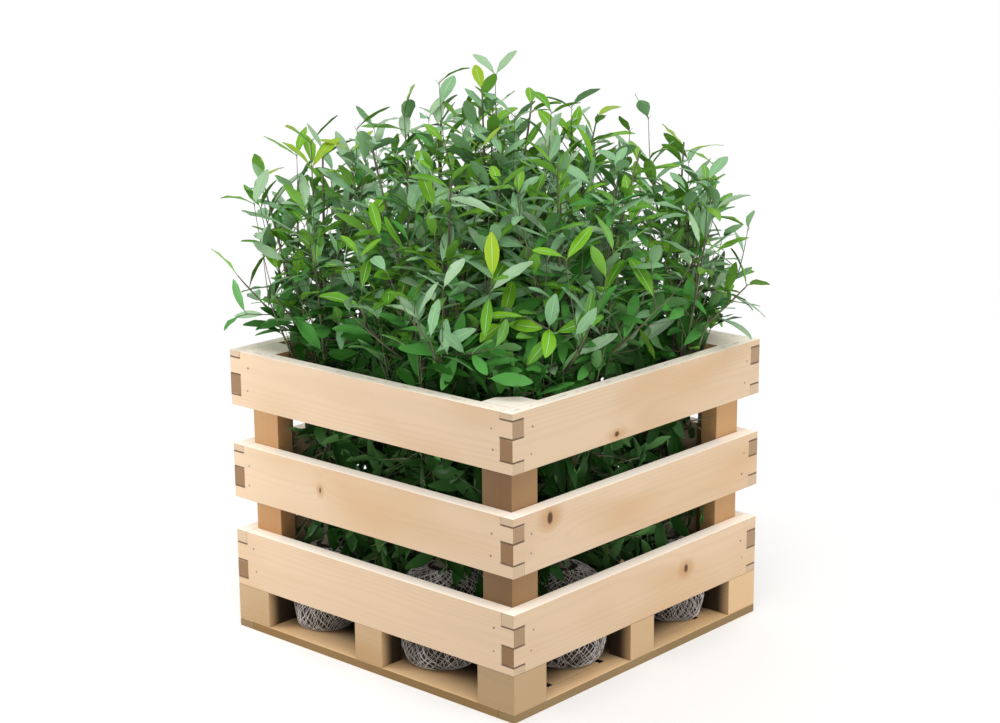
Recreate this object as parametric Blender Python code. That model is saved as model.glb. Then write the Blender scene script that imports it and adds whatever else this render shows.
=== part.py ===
"""Potted cherry laurel: seven netted root balls and their leafy stems in a square slatted crate.

Blender 4.5, metres, +Z up. The origin is the centre of the crate's underside. The crate's
right-hand face in the usual view looks along -Y, and its left-hand face along -X.
"""
import math
import random

import bmesh
import bpy
import numpy as np
from mathutils import Vector

# Clearance left between pieces that touch
CLEAR = 0.0003

# Crate: outer side, slats in three tiers, rails and floor boards, blocks and posts
SIDE = 1.0
HALF = SIDE / 2
SLAT_T = 0.040
INNER = HALF - SLAT_T
SLAT_TIERS = (
    # name, underside, top, finger cuts as parts of the height, from the top down
    ("low", 0.122, 0.278, (0.23, 0.54, 0.86)),
    ("mid", 0.369, 0.519, (0.14, 0.42, 0.78)),
    ("top", 0.626, 0.776, (0.12, 0.42, 0.80)),
)
RIM = SLAT_TIERS[-1][2]
BASE_T = 0.023
RAIL_W = 0.052
FLOOR_BOARDS = 5
FLOOR_GAP = 0.018
BLOCK_TOP = SLAT_TIERS[0][1]
CORNER_BLOCK = 0.120
MID_BLOCK_W = 0.098
MID_BLOCK_DEEP = 0.070
POST_LEG = 0.095
POST_EDGE = 0.050

# Root balls: flat foot, widest height, and the flat top that the trunk stands on
BALL_FOOT = 0.050
BALL_WIDEST = 0.190
BALL_CROWN = 0.040
BALL_SIDES = 16
BALL_STEPS = 3

# Plants: ball centre x and y, ball radius, ball top, and the tips of the two leaders above it
PLANTS = (
    (-0.338, -0.120, 0.118, 0.275, ((-0.400, -0.220, 1.290), (-0.425, 0.024, 1.350))),
    (-0.134, -0.338, 0.118, 0.270, ((0.055, -0.436, 1.325), (-0.220, -0.400, 1.320))),
    (-0.358, 0.280, 0.095, 0.250, ((-0.382, 0.244, 1.325), (-0.370, 0.485, 1.195))),
    (0.280, -0.358, 0.095, 0.250, ((0.425, -0.293, 1.295), (0.298, -0.479, 1.190))),
    (0.338, 0.130, 0.118, 0.270, ((0.356, 0.277, 1.355), (0.435, 0.010, 1.345))),
    (0.130, 0.338, 0.118, 0.275, ((0.211, 0.393, 1.345), (0.074, 0.396, 1.350))),
    (0.000, 0.020, 0.118, 0.280, ((-0.058, -0.010, 1.465), (0.103, -0.039, 1.415))),
)

# Trunks: the fork height, and radii at parts of the height from the root flare up
FORK_Z = 0.360
TRUNK_SIDES = 8
TRUNK_LEAN = 0.10
TRUNK_SHAPE = ((0.0, 0.027), (0.12, 0.020), (0.40, 0.0165), (0.75, 0.0150), (1.0, 0.0145))
LEADER_OFFSET = 0.0080

# Crown: shoots end under a dome over a rounded square plan, and the plan widens upwards
CROWN_TOP = 1.490
CROWN_FALL = 0.85
CROWN_REACH = 0.655
PLAN_POWER = 3.0
SPREAD = 0.30
SPACE_MARGIN = 0.0015

# Shoots: root and tip as parts of the leader's height, reach, and turn from straight outwards
SHOOTS = (
    (0.10, 0.36, 0.085, 170),
    (0.16, 0.44, 0.090, -40),
    (0.38, 0.70, 0.120, 75),
    (0.44, 0.60, 0.170, 0),
    (0.52, 0.86, 0.110, -75),
    (0.58, 0.95, 0.085, 155),
)
SHOOT_TURN_VARIES = 15
SHOOT_REACH_VARIES = 0.1
SHOOT_RISE_VARIES = 0.02
TIP_TRIES = 12
TIP_PULL = 0.12
TIP_MARGIN = 0.012
LEADER_EASE = 1.5
SHOOT_EASE = 0.8
LEADER_RADII = (0.0055, 0.0026)
SHOOT_RADII = (0.0038, 0.0022)
# A shoot that meets the crate is tried again from higher up, and shorter
SHOOT_TRIES = ((0.0, 1.0), (0.10, 0.9), (0.20, 0.75), (0.0, 0.4))
HIGHEST_AIM = 0.95
TWIG_SIDES = 3
LEADER_STEPS = 6
SHOOT_STEPS = 3
TWIG_SAMPLES = 25
GOLDEN_TURN = math.radians(137.508)

# Leaves: solid blades of eight faces, larger than life because each stands for several
LEAF_LENGTH = 0.165
LEAF_WIDTH = 0.058
LEAF_THICK = 0.0030
LEAF_WIDEST = 0.48
LEAF_SPACING = 0.090
LEAF_SINK = 0.0004
BARE_FOOT = 0.06
LEAF_APART = 0.010
BLADE_FROM = 0.020
LEAF_TRIES = 8
LEAF_SAMPLES = 14
LEAF_ROLL = 35
LEAF_SIZES = (0.85, 1.05)
RISE_FOOT = -12
RISE_TIP = 40
RISE_VARIES = 14
LAST_PAIR_RISE = (52, 68)
LAST_PAIR_SIZE = 0.72
LIMB_MARGIN = 0.004
SEED = 41


def clear_scene():
    """Removes every object, so that the script can be run again."""
    for thing in list(bpy.data.objects):
        bpy.data.objects.remove(thing, do_unlink=True)


def material(name, colour, roughness):
    """A plain Principled material."""
    made = bpy.data.materials.new(name)
    made.use_nodes = True
    shader = made.node_tree.nodes["Principled BSDF"]
    shader.inputs["Base Color"].default_value = (*colour, 1.0)
    shader.inputs["Roughness"].default_value = roughness
    shader.inputs["Metallic"].default_value = 0.0
    made.diffuse_color = (*colour, 1.0)
    return made


def finish(name, bm, mat):
    """Turns a bmesh into a named object with its faces pointing outwards."""
    bmesh.ops.recalc_face_normals(bm, faces=bm.faces)
    mesh = bpy.data.meshes.new(name)
    bm.to_mesh(mesh)
    bm.free()
    mesh.materials.append(mat)
    thing = bpy.data.objects.new(name, mesh)
    bpy.context.scene.collection.objects.link(thing)
    return thing


def prism(name, outline, travel, mat):
    """A solid swept from a flat outline along the vector travel."""
    bm = bmesh.new()
    face = bm.faces.new([bm.verts.new(point) for point in outline])
    swept = bmesh.ops.extrude_face_region(bm, geom=[face])
    moved = [item for item in swept["geom"] if isinstance(item, bmesh.types.BMVert)]
    bmesh.ops.translate(bm, vec=travel, verts=moved)
    return finish(name, bm, mat)


def box(name, low, high, mat):
    """A rectangular board or block between two corners."""
    outline = [(low[0], low[1], low[2]), (high[0], low[1], low[2]),
               (high[0], high[1], low[2]), (low[0], high[1], low[2])]
    return prism(name, outline, (0, 0, high[2] - low[2]), mat)


def finger_bands(low, high, cuts):
    """Heights of the four fingers of a corner joint, from the bottom up, and who owns each."""
    edges = [low] + [high - cut * (high - low) for cut in reversed(cuts)] + [high]
    owners = ("left", "right", "left", "right")
    bands = []
    for index, owner in enumerate(owners):
        bottom = edges[index] + (CLEAR / 2 if index > 0 else 0)
        top = edges[index + 1] - (CLEAR / 2 if index < 3 else 0)
        bands.append((bottom, top, owner))
    return bands


def slat_outline(low, high, cuts, owner):
    """Half lengths and heights round a slat whose own fingers reach the outer corner."""
    ends = []
    for bottom, top, owned_by in finger_bands(low, high, cuts):
        reach = HALF if owned_by == owner else INNER - CLEAR
        ends.append((reach, bottom, top))
    for index in range(3):
        here, above = ends[index], ends[index + 1]
        # the shorter of two neighbouring bands takes up the clearance between them
        if here[0] < above[0]:
            ends[index] = (here[0], here[1], above[1])
        else:
            ends[index + 1] = (above[0], here[2], above[2])
    right = []
    for reach, bottom, top in ends:
        right.extend([(reach, bottom), (reach, top)])
    return right + [(-reach, height) for reach, height in reversed(right)]


def crate_slats(mat):
    """Twelve slats: the left and right pairs lock together by fingers at each corner."""
    for tier, low, high, cuts in SLAT_TIERS:
        for side, sign in (("front", -1), ("back", 1)):
            outline = slat_outline(low, high, cuts, "right")
            points = [(along, sign * HALF, height) for along, height in outline]
            prism(f"slat_{tier}_{side}", points, (0, -sign * SLAT_T, 0), mat)
        for side, sign in (("left", -1), ("right", 1)):
            outline = slat_outline(low, high, cuts, "left")
            points = [(sign * HALF, along, height) for along, height in outline]
            prism(f"slat_{tier}_{side}", points, (-sign * SLAT_T, 0, 0), mat)


def crate_base(mat):
    """Two rails along X with the floor boards fitted between them."""
    inner = HALF - RAIL_W
    box("base_rail_front", (-HALF, -HALF, 0), (HALF, -inner, BASE_T), mat)
    box("base_rail_back", (-HALF, inner, 0), (HALF, HALF, BASE_T), mat)
    width = (SIDE - (FLOOR_BOARDS - 1) * FLOOR_GAP) / FLOOR_BOARDS
    for index in range(FLOOR_BOARDS):
        left = -HALF + index * (width + FLOOR_GAP)
        box(f"floor_board_{index + 1}", (left, -inner + CLEAR, 0),
            (left + width, inner - CLEAR, BASE_T), mat)


def crate_blocks(mat):
    """A block under each corner and under the middle of each side."""
    low, high = BASE_T + CLEAR, BLOCK_TOP - CLEAR
    for x_name, x_sign in (("left", -1), ("right", 1)):
        for y_name, y_sign in (("front", -1), ("back", 1)):
            x_pair = sorted((x_sign * HALF, x_sign * (HALF - CORNER_BLOCK)))
            y_pair = sorted((y_sign * HALF, y_sign * (HALF - CORNER_BLOCK)))
            box(f"block_{y_name}_{x_name}", (x_pair[0], y_pair[0], low), (x_pair[1], y_pair[1], high), mat)
    half_w = MID_BLOCK_W / 2
    for name, sign in (("left", -1), ("right", 1)):
        pair = sorted((sign * HALF, sign * (HALF - MID_BLOCK_DEEP)))
        box(f"block_mid_{name}", (pair[0], -half_w, low), (pair[1], half_w, high), mat)
    for name, sign in (("front", -1), ("back", 1)):
        pair = sorted((sign * HALF, sign * (HALF - MID_BLOCK_DEEP)))
        box(f"block_mid_{name}", (-half_w, pair[0], low), (half_w, pair[1], high), mat)


def post_outline(x_sign, y_sign):
    """Section of a corner post: a square corner behind the slats, cut off towards the inside."""
    corner = INNER - CLEAR
    steps = ((0, 0), (POST_LEG, 0), (POST_LEG, POST_EDGE), (POST_EDGE, POST_LEG), (0, POST_LEG))
    return [(x_sign * (corner - a), y_sign * (corner - b), BLOCK_TOP) for a, b in steps]


def crate_posts(mat):
    """Four posts that stand on the corner blocks behind the slats, up to the rim."""
    for x_name, x_sign in (("left", -1), ("right", 1)):
        for y_name, y_sign in (("front", -1), ("back", 1)):
            outline = post_outline(x_sign, y_sign)
            prism(f"post_{y_name}_{x_name}", outline, (0, 0, RIM - BLOCK_TOP), mat)


def ball_profile(radius, top):
    """Radius and height up a root ball: two quarter ellipses between flat foot and flat crown."""
    foot = BASE_T + CLEAR
    points = []
    for step in range(BALL_STEPS + 1):
        angle = step / BALL_STEPS * math.pi / 2
        points.append((BALL_FOOT + (radius - BALL_FOOT) * math.sin(angle),
                       foot + (BALL_WIDEST - foot) * (1 - math.cos(angle))))
    for step in range(1, BALL_STEPS + 1):
        angle = step / BALL_STEPS * math.pi / 2
        points.append((BALL_CROWN + (radius - BALL_CROWN) * math.cos(angle),
                       BALL_WIDEST + (top - BALL_WIDEST) * math.sin(angle)))
    return points


def ringed(name, rings, mat, sides):
    """A closed solid through level or tilted rings, each given as its list of points."""
    bm = bmesh.new()
    made = [[bm.verts.new(point) for point in ring] for ring in rings]
    bm.faces.new(list(reversed(made[0])))
    bm.faces.new(made[-1])
    for low, high in zip(made, made[1:]):
        for index in range(sides):
            other = (index + 1) % sides
            bm.faces.new((low[index], low[other], high[other], high[index]))
    return finish(name, bm, mat)


def level_ring(x, y, z, radius, sides):
    """Points of a horizontal regular ring."""
    return [(x + radius * math.cos(2 * math.pi * k / sides),
             y + radius * math.sin(2 * math.pi * k / sides), z) for k in range(sides)]


def root_balls(mat):
    """The root balls, each a body turned about the upright line through its centre."""
    for index, (x, y, radius, top, _tips) in enumerate(PLANTS):
        rings = [level_ring(x, y, z, r, BALL_SIDES) for r, z in ball_profile(radius, top)]
        ringed(f"root_ball_{index + 1}", rings, mat, BALL_SIDES)


def fork_point(plant):
    """The top of a trunk: above its ball, drawn a little towards the leaders it carries."""
    x, y, _radius, _top, tips = plant
    mean = Vector(((tips[0][0] + tips[1][0]) / 2, (tips[0][1] + tips[1][1]) / 2))
    lean = (mean - Vector((x, y))) * TRUNK_LEAN
    return Vector((x + lean.x, y + lean.y, FORK_Z))


def trunks(mat):
    """Short trunks with a root flare, cut flat on the ball and flat under the fork."""
    for index, plant in enumerate(PLANTS):
        x, y, _radius, top, _tips = plant
        foot = Vector((x, y, top + CLEAR))
        fork = fork_point(plant)
        rings = []
        for part, radius in TRUNK_SHAPE:
            centre = foot.lerp(fork, part)
            rings.append(level_ring(centre.x, centre.y, centre.z, radius, TRUNK_SIDES))
        ringed(f"trunk_{index + 1}", rings, mat, TRUNK_SIDES)


def widening(z):
    """How far the crown's plan has spread at a height, against the plan at the forks."""
    return 1 + SPREAD * (z - FORK_Z)


def plan_radius(x, y):
    """Distance from the middle on a rounded square plan."""
    return (abs(x) ** PLAN_POWER + abs(y) ** PLAN_POWER) ** (1 / PLAN_POWER)


def crown_height(x, y):
    """Height of the dome that the shoots end under."""
    return CROWN_TOP - CROWN_FALL * plan_radius(x, y) ** 2


def leaders():
    """One entry for each mass: its name, plant, fork, foot, tip and seed point on the plan."""
    made = []
    for number, plant in enumerate(PLANTS):
        fork = fork_point(plant)
        tips = [Vector(tip) for tip in plant[4]]
        between = (tips[1] - tips[0]).xy.normalized()
        for half, tip in enumerate(tips):
            sign = 1 if half else -1
            foot = Vector((fork.x + sign * LEADER_OFFSET * between.x,
                           fork.y + sign * LEADER_OFFSET * between.y, FORK_Z + CLEAR))
            seed = tip.xy / widening(tip.z)
            made.append({"name": f"foliage_{number + 1}{'ab'[half]}", "plant": number,
                         "fork": fork, "foot": foot, "tip": tip, "seed": seed})
    return made


def space_planes(all_leaders, mine):
    """Half spaces of one mass: x and y against normal, less the widening times offset, is below 0."""
    planes = []
    for other in all_leaders:
        if other is mine:
            continue
        normal = (other["seed"] - mine["seed"]).normalized()
        if other["plant"] == mine["plant"]:
            offset = mine["fork"].xy.dot(normal) / widening(FORK_Z)
        else:
            offset = ((other["seed"] + mine["seed"]) / 2).dot(normal)
        planes.append((normal.x, normal.y, offset))
    return np.array(planes)


def in_space(points, planes, margin):
    """True where every point lies inside the mass's own space by the margin."""
    side = points[:, :2] @ planes[:, :2].T - widening(points[:, 2:]) * planes[:, 2]
    return bool((side < -margin).all())


def crate_boxes():
    """Low and high corners of the boards, posts and rails that foliage has to clear."""
    boxes = []
    for _tier, low, high, _cuts in SLAT_TIERS:
        for sign in (-1, 1):
            pair = sorted((sign * HALF, sign * INNER))
            boxes.append(((pair[0], -HALF, low), (pair[1], HALF, high)))
            boxes.append(((-HALF, pair[0], low), (HALF, pair[1], high)))
    for x_sign in (-1, 1):
        for y_sign in (-1, 1):
            x_pair = sorted((x_sign * INNER, x_sign * (INNER - POST_LEG)))
            y_pair = sorted((y_sign * INNER, y_sign * (INNER - POST_LEG)))
            boxes.append(((x_pair[0], y_pair[0], BLOCK_TOP), (x_pair[1], y_pair[1], RIM)))
    boxes.append(((-HALF, -HALF, 0), (HALF, HALF, BLOCK_TOP)))
    return np.array(boxes)


def clear_of_limbs(points, boxes, margin):
    """True where no point touches the crate, a root ball or a trunk."""
    low = boxes[:, 0] - margin
    high = boxes[:, 1] + margin
    inside = ((points[:, None] > low) & (points[:, None] < high)).all(axis=2)
    if inside.any():
        return False
    for plant in PLANTS:
        x, y, radius, top, _tips = plant
        fork = fork_point(plant)
        flat = np.hypot(points[:, 0] - x, points[:, 1] - y)
        if ((flat < radius + margin) & (points[:, 2] < top + margin)).any():
            return False
        part = np.clip((points[:, 2] - top) / (FORK_Z - top), 0, 1)
        axis_x = x + part * (fork.x - x)
        axis_y = y + part * (fork.y - y)
        away = np.hypot(points[:, 0] - axis_x, points[:, 1] - axis_y)
        if ((away < TRUNK_SHAPE[1][1] + margin) & (points[:, 2] < FORK_Z + margin)).any():
            return False
    return True


def curve(foot, tip, ease, steps):
    """Points up a twig: height grows evenly, and the lean follows a power of the way up."""
    points = []
    for step in range(steps + 1):
        part = step / steps
        flat = part ** ease
        points.append(Vector((foot.x + (tip.x - foot.x) * flat,
                              foot.y + (tip.y - foot.y) * flat,
                              foot.z + (tip.z - foot.z) * part)))
    return points


def along(points, part):
    """A point and the direction at a part of the way along a twig."""
    place = min(max(part, 0.0), 0.9999) * (len(points) - 1)
    index = int(place)
    direction = (points[index + 1] - points[index]).normalized()
    return points[index].lerp(points[index + 1], place - index), direction


def twig_rings(points, radii, level_foot):
    """Three-sided rings across a twig that tapers from one radius to the other."""
    rings = []
    for index, point in enumerate(points):
        before = points[max(index - 1, 0)]
        after = points[min(index + 1, len(points) - 1)]
        direction = (after - before).normalized()
        if index == 0 and level_foot:
            direction = Vector((0, 0, 1))
        side = (Vector((1, 0, 0)) - direction * direction.x).normalized()
        other = direction.cross(side)
        radius = radii[0] + (radii[1] - radii[0]) * index / (len(points) - 1)
        ring = []
        for corner in range(TWIG_SIDES):
            angle = 2 * math.pi * corner / TWIG_SIDES
            ring.append(point + (side * math.cos(angle) + other * math.sin(angle)) * radius)
        rings.append(ring)
    return rings


def leaf_points(root, heading, roll, length):
    """Root, tip, two edge points and two rib points of a leaf that grows along heading."""
    level = Vector((-heading.y, heading.x, 0))
    if level.length < 1e-4:
        level = Vector((1, 0, 0))
    level.normalize()
    up = heading.cross(level).normalized()
    across = level * math.cos(roll) + up * math.sin(roll)
    normal = heading.cross(across).normalized()
    start = root - heading * LEAF_SINK
    middle = start + heading * length * LEAF_WIDEST
    half = LEAF_WIDTH / 2 * length / LEAF_LENGTH
    return [start, start + heading * length, middle + across * half, middle - across * half,
            middle + normal * LEAF_THICK / 2, middle - normal * LEAF_THICK / 2]


LEAF_FACES = ((0, 2, 4), (0, 4, 3), (0, 3, 5), (0, 5, 2), (1, 4, 2), (1, 3, 4), (1, 5, 3), (1, 2, 5))


def leaf_samples(points):
    """Points spread over a leaf's edges and middle, closer together than the limb margin needs."""
    corners = np.array([tuple(point) for point in points])
    steps = np.linspace(0, 1, LEAF_SAMPLES)[:, None]
    lines = [corners[0] + (corners[1] - corners[0]) * steps]
    for edge in (2, 3):
        lines.append(corners[0] + (corners[edge] - corners[0]) * steps)
        lines.append(corners[1] + (corners[edge] - corners[1]) * steps)
        inner = (corners[edge] + corners[0] + corners[1]) / 3
        lines.append(corners[0] + (inner - corners[0]) * steps)
        lines.append(corners[1] + (inner - corners[1]) * steps)
    return np.vstack(lines)


def fitted_tip(target, planes, foot):
    """A shoot's tip, drawn back towards its foot until it is in its space and under the dome."""
    tip = target.copy()
    for _ in range(TIP_TRIES):
        under_dome = plan_radius(tip.x, tip.y) < CROWN_REACH and tip.z < crown_height(tip.x, tip.y)
        if under_dome and in_space(np.array([tuple(tip)]), planes, TIP_MARGIN):
            return tip
        pulled = tip.xy.lerp(foot.xy, TIP_PULL)
        tip = Vector((pulled.x, pulled.y, min(tip.z, crown_height(pulled.x, pulled.y) - CLEAR)))
    return tip


def grow(mass, planes, boxes, rng):
    """Twigs and leaves of one mass as rings and leaf corners, worked out by the seeded rule."""
    foot, tip = mass["foot"], mass["tip"]
    leader = curve(foot, tip, LEADER_EASE, LEADER_STEPS)
    twigs = [(leader, LEADER_RADII, True)]
    outwards = math.atan2(tip.y, tip.x)
    for root_part, tip_part, reach, turn in SHOOTS:
        angle = outwards + math.radians(turn + rng.uniform(-1, 1) * SHOOT_TURN_VARIES)
        length = reach * (1 + rng.uniform(-1, 1) * SHOOT_REACH_VARIES)
        rise = rng.uniform(-1, 1) * SHOOT_RISE_VARIES
        for lift, shrink in SHOOT_TRIES:
            start, _direction = along(leader, root_part + lift)
            aim, _direction = along(leader, min(tip_part + lift, HIGHEST_AIM))
            target = aim + Vector((length * shrink * math.cos(angle),
                                   length * shrink * math.sin(angle), rise))
            shoot = curve(start, fitted_tip(target, planes, start), SHOOT_EASE, SHOOT_STEPS)
            parts = np.linspace(0, 1, TWIG_SAMPLES)
            samples = np.array([tuple(along(shoot, part)[0]) for part in parts])
            if in_space(samples, planes, SPACE_MARGIN + SHOOT_RADII[0]) and \
                    clear_of_limbs(samples, boxes, LIMB_MARGIN + SHOOT_RADII[0]):
                twigs.append((shoot, SHOOT_RADII, False))
                break
    leaves = []
    blades = []
    for points, _radii, _level in twigs:
        leaves_on(points, planes, boxes, rng, leaves, blades)
    return twigs, leaves


def keeps_apart(samples, blades):
    """True where the outer part of a leaf keeps its distance from the leaves already there."""
    if not blades:
        return True
    others = np.vstack(blades)
    gaps = np.linalg.norm(samples[:, None] - others[None], axis=2)
    return gaps.min() > LEAF_APART


def leaves_on(points, planes, boxes, rng, leaves, blades):
    """Leaves round one twig at the golden turn, spreading low down and rising towards the tip."""
    length = sum((b - a).length for a, b in zip(points, points[1:]))
    bare = BARE_FOOT / length
    count = max(3, int(length * (1 - bare) / LEAF_SPACING))
    turn = rng.uniform(0, 2 * math.pi)
    for index in range(count + 2):
        last = index >= count
        part = 0.985 if last else bare + (0.97 - bare) * (index + 0.5) / count
        place, direction = along(points, part)
        for _attempt in range(LEAF_TRIES):
            turn += GOLDEN_TURN
            rise = RISE_FOOT + (RISE_TIP - RISE_FOOT) * part + rng.uniform(-1, 1) * RISE_VARIES
            rise = math.radians(rng.uniform(*LAST_PAIR_RISE) if last else rise)
            heading = Vector((math.cos(turn) * math.cos(rise), math.sin(turn) * math.cos(rise),
                              math.sin(rise)))
            size = LEAF_LENGTH * rng.uniform(*LEAF_SIZES) * (LAST_PAIR_SIZE if last else 1.0)
            roll = math.radians(rng.uniform(-1, 1) * LEAF_ROLL)
            corners = leaf_points(place, heading, roll, size)
            samples = leaf_samples(corners)
            outer = samples[np.linalg.norm(samples - np.array(tuple(place)), axis=1) > BLADE_FROM]
            if keeps_apart(outer, blades) and in_space(samples, planes, SPACE_MARGIN) and \
                    clear_of_limbs(samples, boxes, LIMB_MARGIN):
                leaves.append(corners)
                blades.append(outer)
                break


def loose_solid(corners, faces, mat):
    """One leaf as a closed solid object."""
    bm = bmesh.new()
    made = [bm.verts.new(point) for point in corners]
    for face in faces:
        bm.faces.new([made[k] for k in face])
    return finish("leaf", bm, mat)


def shells(bm):
    """Groups of faces joined by their edges, each with the volume it encloses."""
    left = set(bm.faces)
    groups = []
    while left:
        first = left.pop()
        group = [first]
        stack = [first]
        while stack:
            for edge in stack.pop().edges:
                for face in edge.link_faces:
                    if face in left:
                        left.remove(face)
                        group.append(face)
                        stack.append(face)
        volume = 0.0
        for face in group:
            corners = [loop.vert.co for loop in face.loops]
            for second, third in zip(corners[1:], corners[2:]):
                volume += corners[0].dot(second.cross(third)) / 6
        groups.append((volume, group))
    return sorted(groups, key=lambda pair: pair[0], reverse=True)


def join_mass(name, twigs, leaves, mat):
    """Fuses twigs and leaves in one union, then drops sealed hollows and loose scrap."""
    stem_points, stem_radii, level = twigs[0]
    stem = ringed(name, twig_rings(stem_points, stem_radii, level), mat, TWIG_SIDES)
    group = bpy.data.collections.new(name + "_parts")
    bpy.context.scene.collection.children.link(group)
    pieces = [ringed("twig", twig_rings(points, radii, level), mat, TWIG_SIDES)
              for points, radii, level in twigs[1:]]
    pieces.extend(loose_solid(corners, LEAF_FACES, mat) for corners in leaves)
    for piece in pieces:
        bpy.context.scene.collection.objects.unlink(piece)
        group.objects.link(piece)
    union = stem.modifiers.new("join", "BOOLEAN")
    union.operation = "UNION"
    union.operand_type = "COLLECTION"
    union.collection = group
    union.solver = "EXACT"
    graph = bpy.context.evaluated_depsgraph_get()
    joined = bpy.data.meshes.new_from_object(stem.evaluated_get(graph))
    stem.modifiers.clear()
    for piece in pieces:
        bpy.data.objects.remove(piece, do_unlink=True)
    bpy.data.collections.remove(group)
    bm = bmesh.new()
    bm.from_mesh(joined)
    bmesh.ops.triangulate(bm, faces=bm.faces)
    for _volume, faces in shells(bm)[1:]:
        bmesh.ops.delete(bm, geom=faces, context="FACES")
    bm.to_mesh(stem.data)
    bm.free()
    bpy.data.meshes.remove(joined)
    return stem


def foliage(mat):
    """The fourteen masses, two on each trunk."""
    boxes = crate_boxes()
    everyone = leaders()
    for index, mass in enumerate(everyone):
        rng = random.Random(SEED + index)
        planes = space_planes(everyone, mass)
        twigs, leaves = grow(mass, planes, boxes, rng)
        join_mass(mass["name"], twigs, leaves, mat)


def main():
    clear_scene()
    wood = material("spruce", (0.78, 0.62, 0.43), 0.62)
    block_wood = material("spruce_block", (0.66, 0.49, 0.30), 0.66)
    netted_peat = material("netted_peat", (0.09, 0.07, 0.055), 0.9)
    bark = material("stem_bark", (0.12, 0.10, 0.06), 0.8)
    leaf = material("laurel_leaf", (0.09, 0.26, 0.07), 0.38)
    crate_base(block_wood)
    crate_blocks(block_wood)
    crate_posts(block_wood)
    crate_slats(wood)
    root_balls(netted_peat)
    trunks(bark)
    foliage(leaf)


main()
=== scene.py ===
"""Looks of a potted cherry laurel: sawn spruce crate, netted root balls, bark, stems and leaves.

Blender 4.5, metres, +Z up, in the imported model's own frame. The crate's right-hand face in the
usual view looks along -Y, and its left-hand face along -X. Run it as a script: main registers
the add-on's classes and calls one operator after another.
"""
import functools
import itertools
import math
import random

import bpy
import numpy as np
from mathutils import Matrix, Vector


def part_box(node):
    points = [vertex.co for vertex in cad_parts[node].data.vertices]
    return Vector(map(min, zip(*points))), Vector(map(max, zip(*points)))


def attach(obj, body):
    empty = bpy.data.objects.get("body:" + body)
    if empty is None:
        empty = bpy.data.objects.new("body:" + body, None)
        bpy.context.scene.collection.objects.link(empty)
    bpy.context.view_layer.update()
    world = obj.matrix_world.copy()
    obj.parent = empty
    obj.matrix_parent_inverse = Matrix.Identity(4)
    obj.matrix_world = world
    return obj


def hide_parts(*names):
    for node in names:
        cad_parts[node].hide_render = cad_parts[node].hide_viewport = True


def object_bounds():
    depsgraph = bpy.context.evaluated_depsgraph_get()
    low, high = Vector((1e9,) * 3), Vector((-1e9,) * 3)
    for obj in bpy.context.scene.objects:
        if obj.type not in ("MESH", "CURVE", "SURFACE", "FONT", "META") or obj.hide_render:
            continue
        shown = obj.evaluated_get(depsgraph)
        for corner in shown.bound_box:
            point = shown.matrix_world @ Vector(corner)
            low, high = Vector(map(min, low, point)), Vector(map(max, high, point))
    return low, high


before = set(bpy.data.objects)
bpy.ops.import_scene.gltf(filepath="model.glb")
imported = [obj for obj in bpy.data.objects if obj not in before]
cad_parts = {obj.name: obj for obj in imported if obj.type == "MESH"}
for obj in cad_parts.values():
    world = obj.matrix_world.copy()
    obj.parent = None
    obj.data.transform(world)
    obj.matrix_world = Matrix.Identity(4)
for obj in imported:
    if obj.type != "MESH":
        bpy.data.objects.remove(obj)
CAD_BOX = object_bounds()

bl_info = {
    "name": "Potted cherry laurel",
    "version": (1, 0, 0),
    "blender": (4, 5, 0),
    "location": "3D View > Sidebar > Laurel",
    "description": "Dresses a cherry laurel in its slatted crate: wood, netted peat, bark, twigs and leaves",
    "category": "Add Mesh",
}

# Crate: sizes read from the frame, the narrow edge of a post, and the clearance between pieces
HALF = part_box("base_rail_front")[1].x
SLAT_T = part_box("slat_top_front")[1].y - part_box("slat_top_front")[0].y
INNER = HALF - SLAT_T
BLOCK_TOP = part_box("slat_low_front")[0].z
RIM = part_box("slat_top_front")[1].z
POST_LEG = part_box("post_front_left")[1].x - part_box("post_front_left")[0].x
POST_EDGE = 0.050
CLEAR = 0.0003
SIDES = ("front", "back", "left", "right")
TIERS = ("low", "mid", "top")
# Finger cuts of the corner joints, as parts of the slat's height from the top down
FINGER_CUTS = {"low": (0.23, 0.54, 0.86), "mid": (0.14, 0.42, 0.78), "top": (0.12, 0.42, 0.80)}

# Growth rule of the crown, as the solids have it
PLANTS = range(1, 8)
LEADER_TIPS = (
    ((-0.400, -0.220, 1.290), (-0.425, 0.024, 1.350)),
    ((0.055, -0.436, 1.325), (-0.220, -0.400, 1.320)),
    ((-0.382, 0.244, 1.325), (-0.370, 0.485, 1.195)),
    ((0.425, -0.293, 1.295), (0.298, -0.479, 1.190)),
    ((0.356, 0.277, 1.355), (0.435, 0.010, 1.345)),
    ((0.211, 0.393, 1.345), (0.074, 0.396, 1.350)),
    ((-0.058, -0.010, 1.465), (0.103, -0.039, 1.415)),
)
FORK_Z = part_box("trunk_1")[1].z
TRUNK_LEAN = 0.10
LEADER_OFFSET = 0.0080
CROWN_TOP = 1.490
CROWN_FALL = 0.85
CROWN_REACH = 0.655
PLAN_POWER = 3.0
SPREAD = 0.30
SPACE_MARGIN = 0.0015
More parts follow.
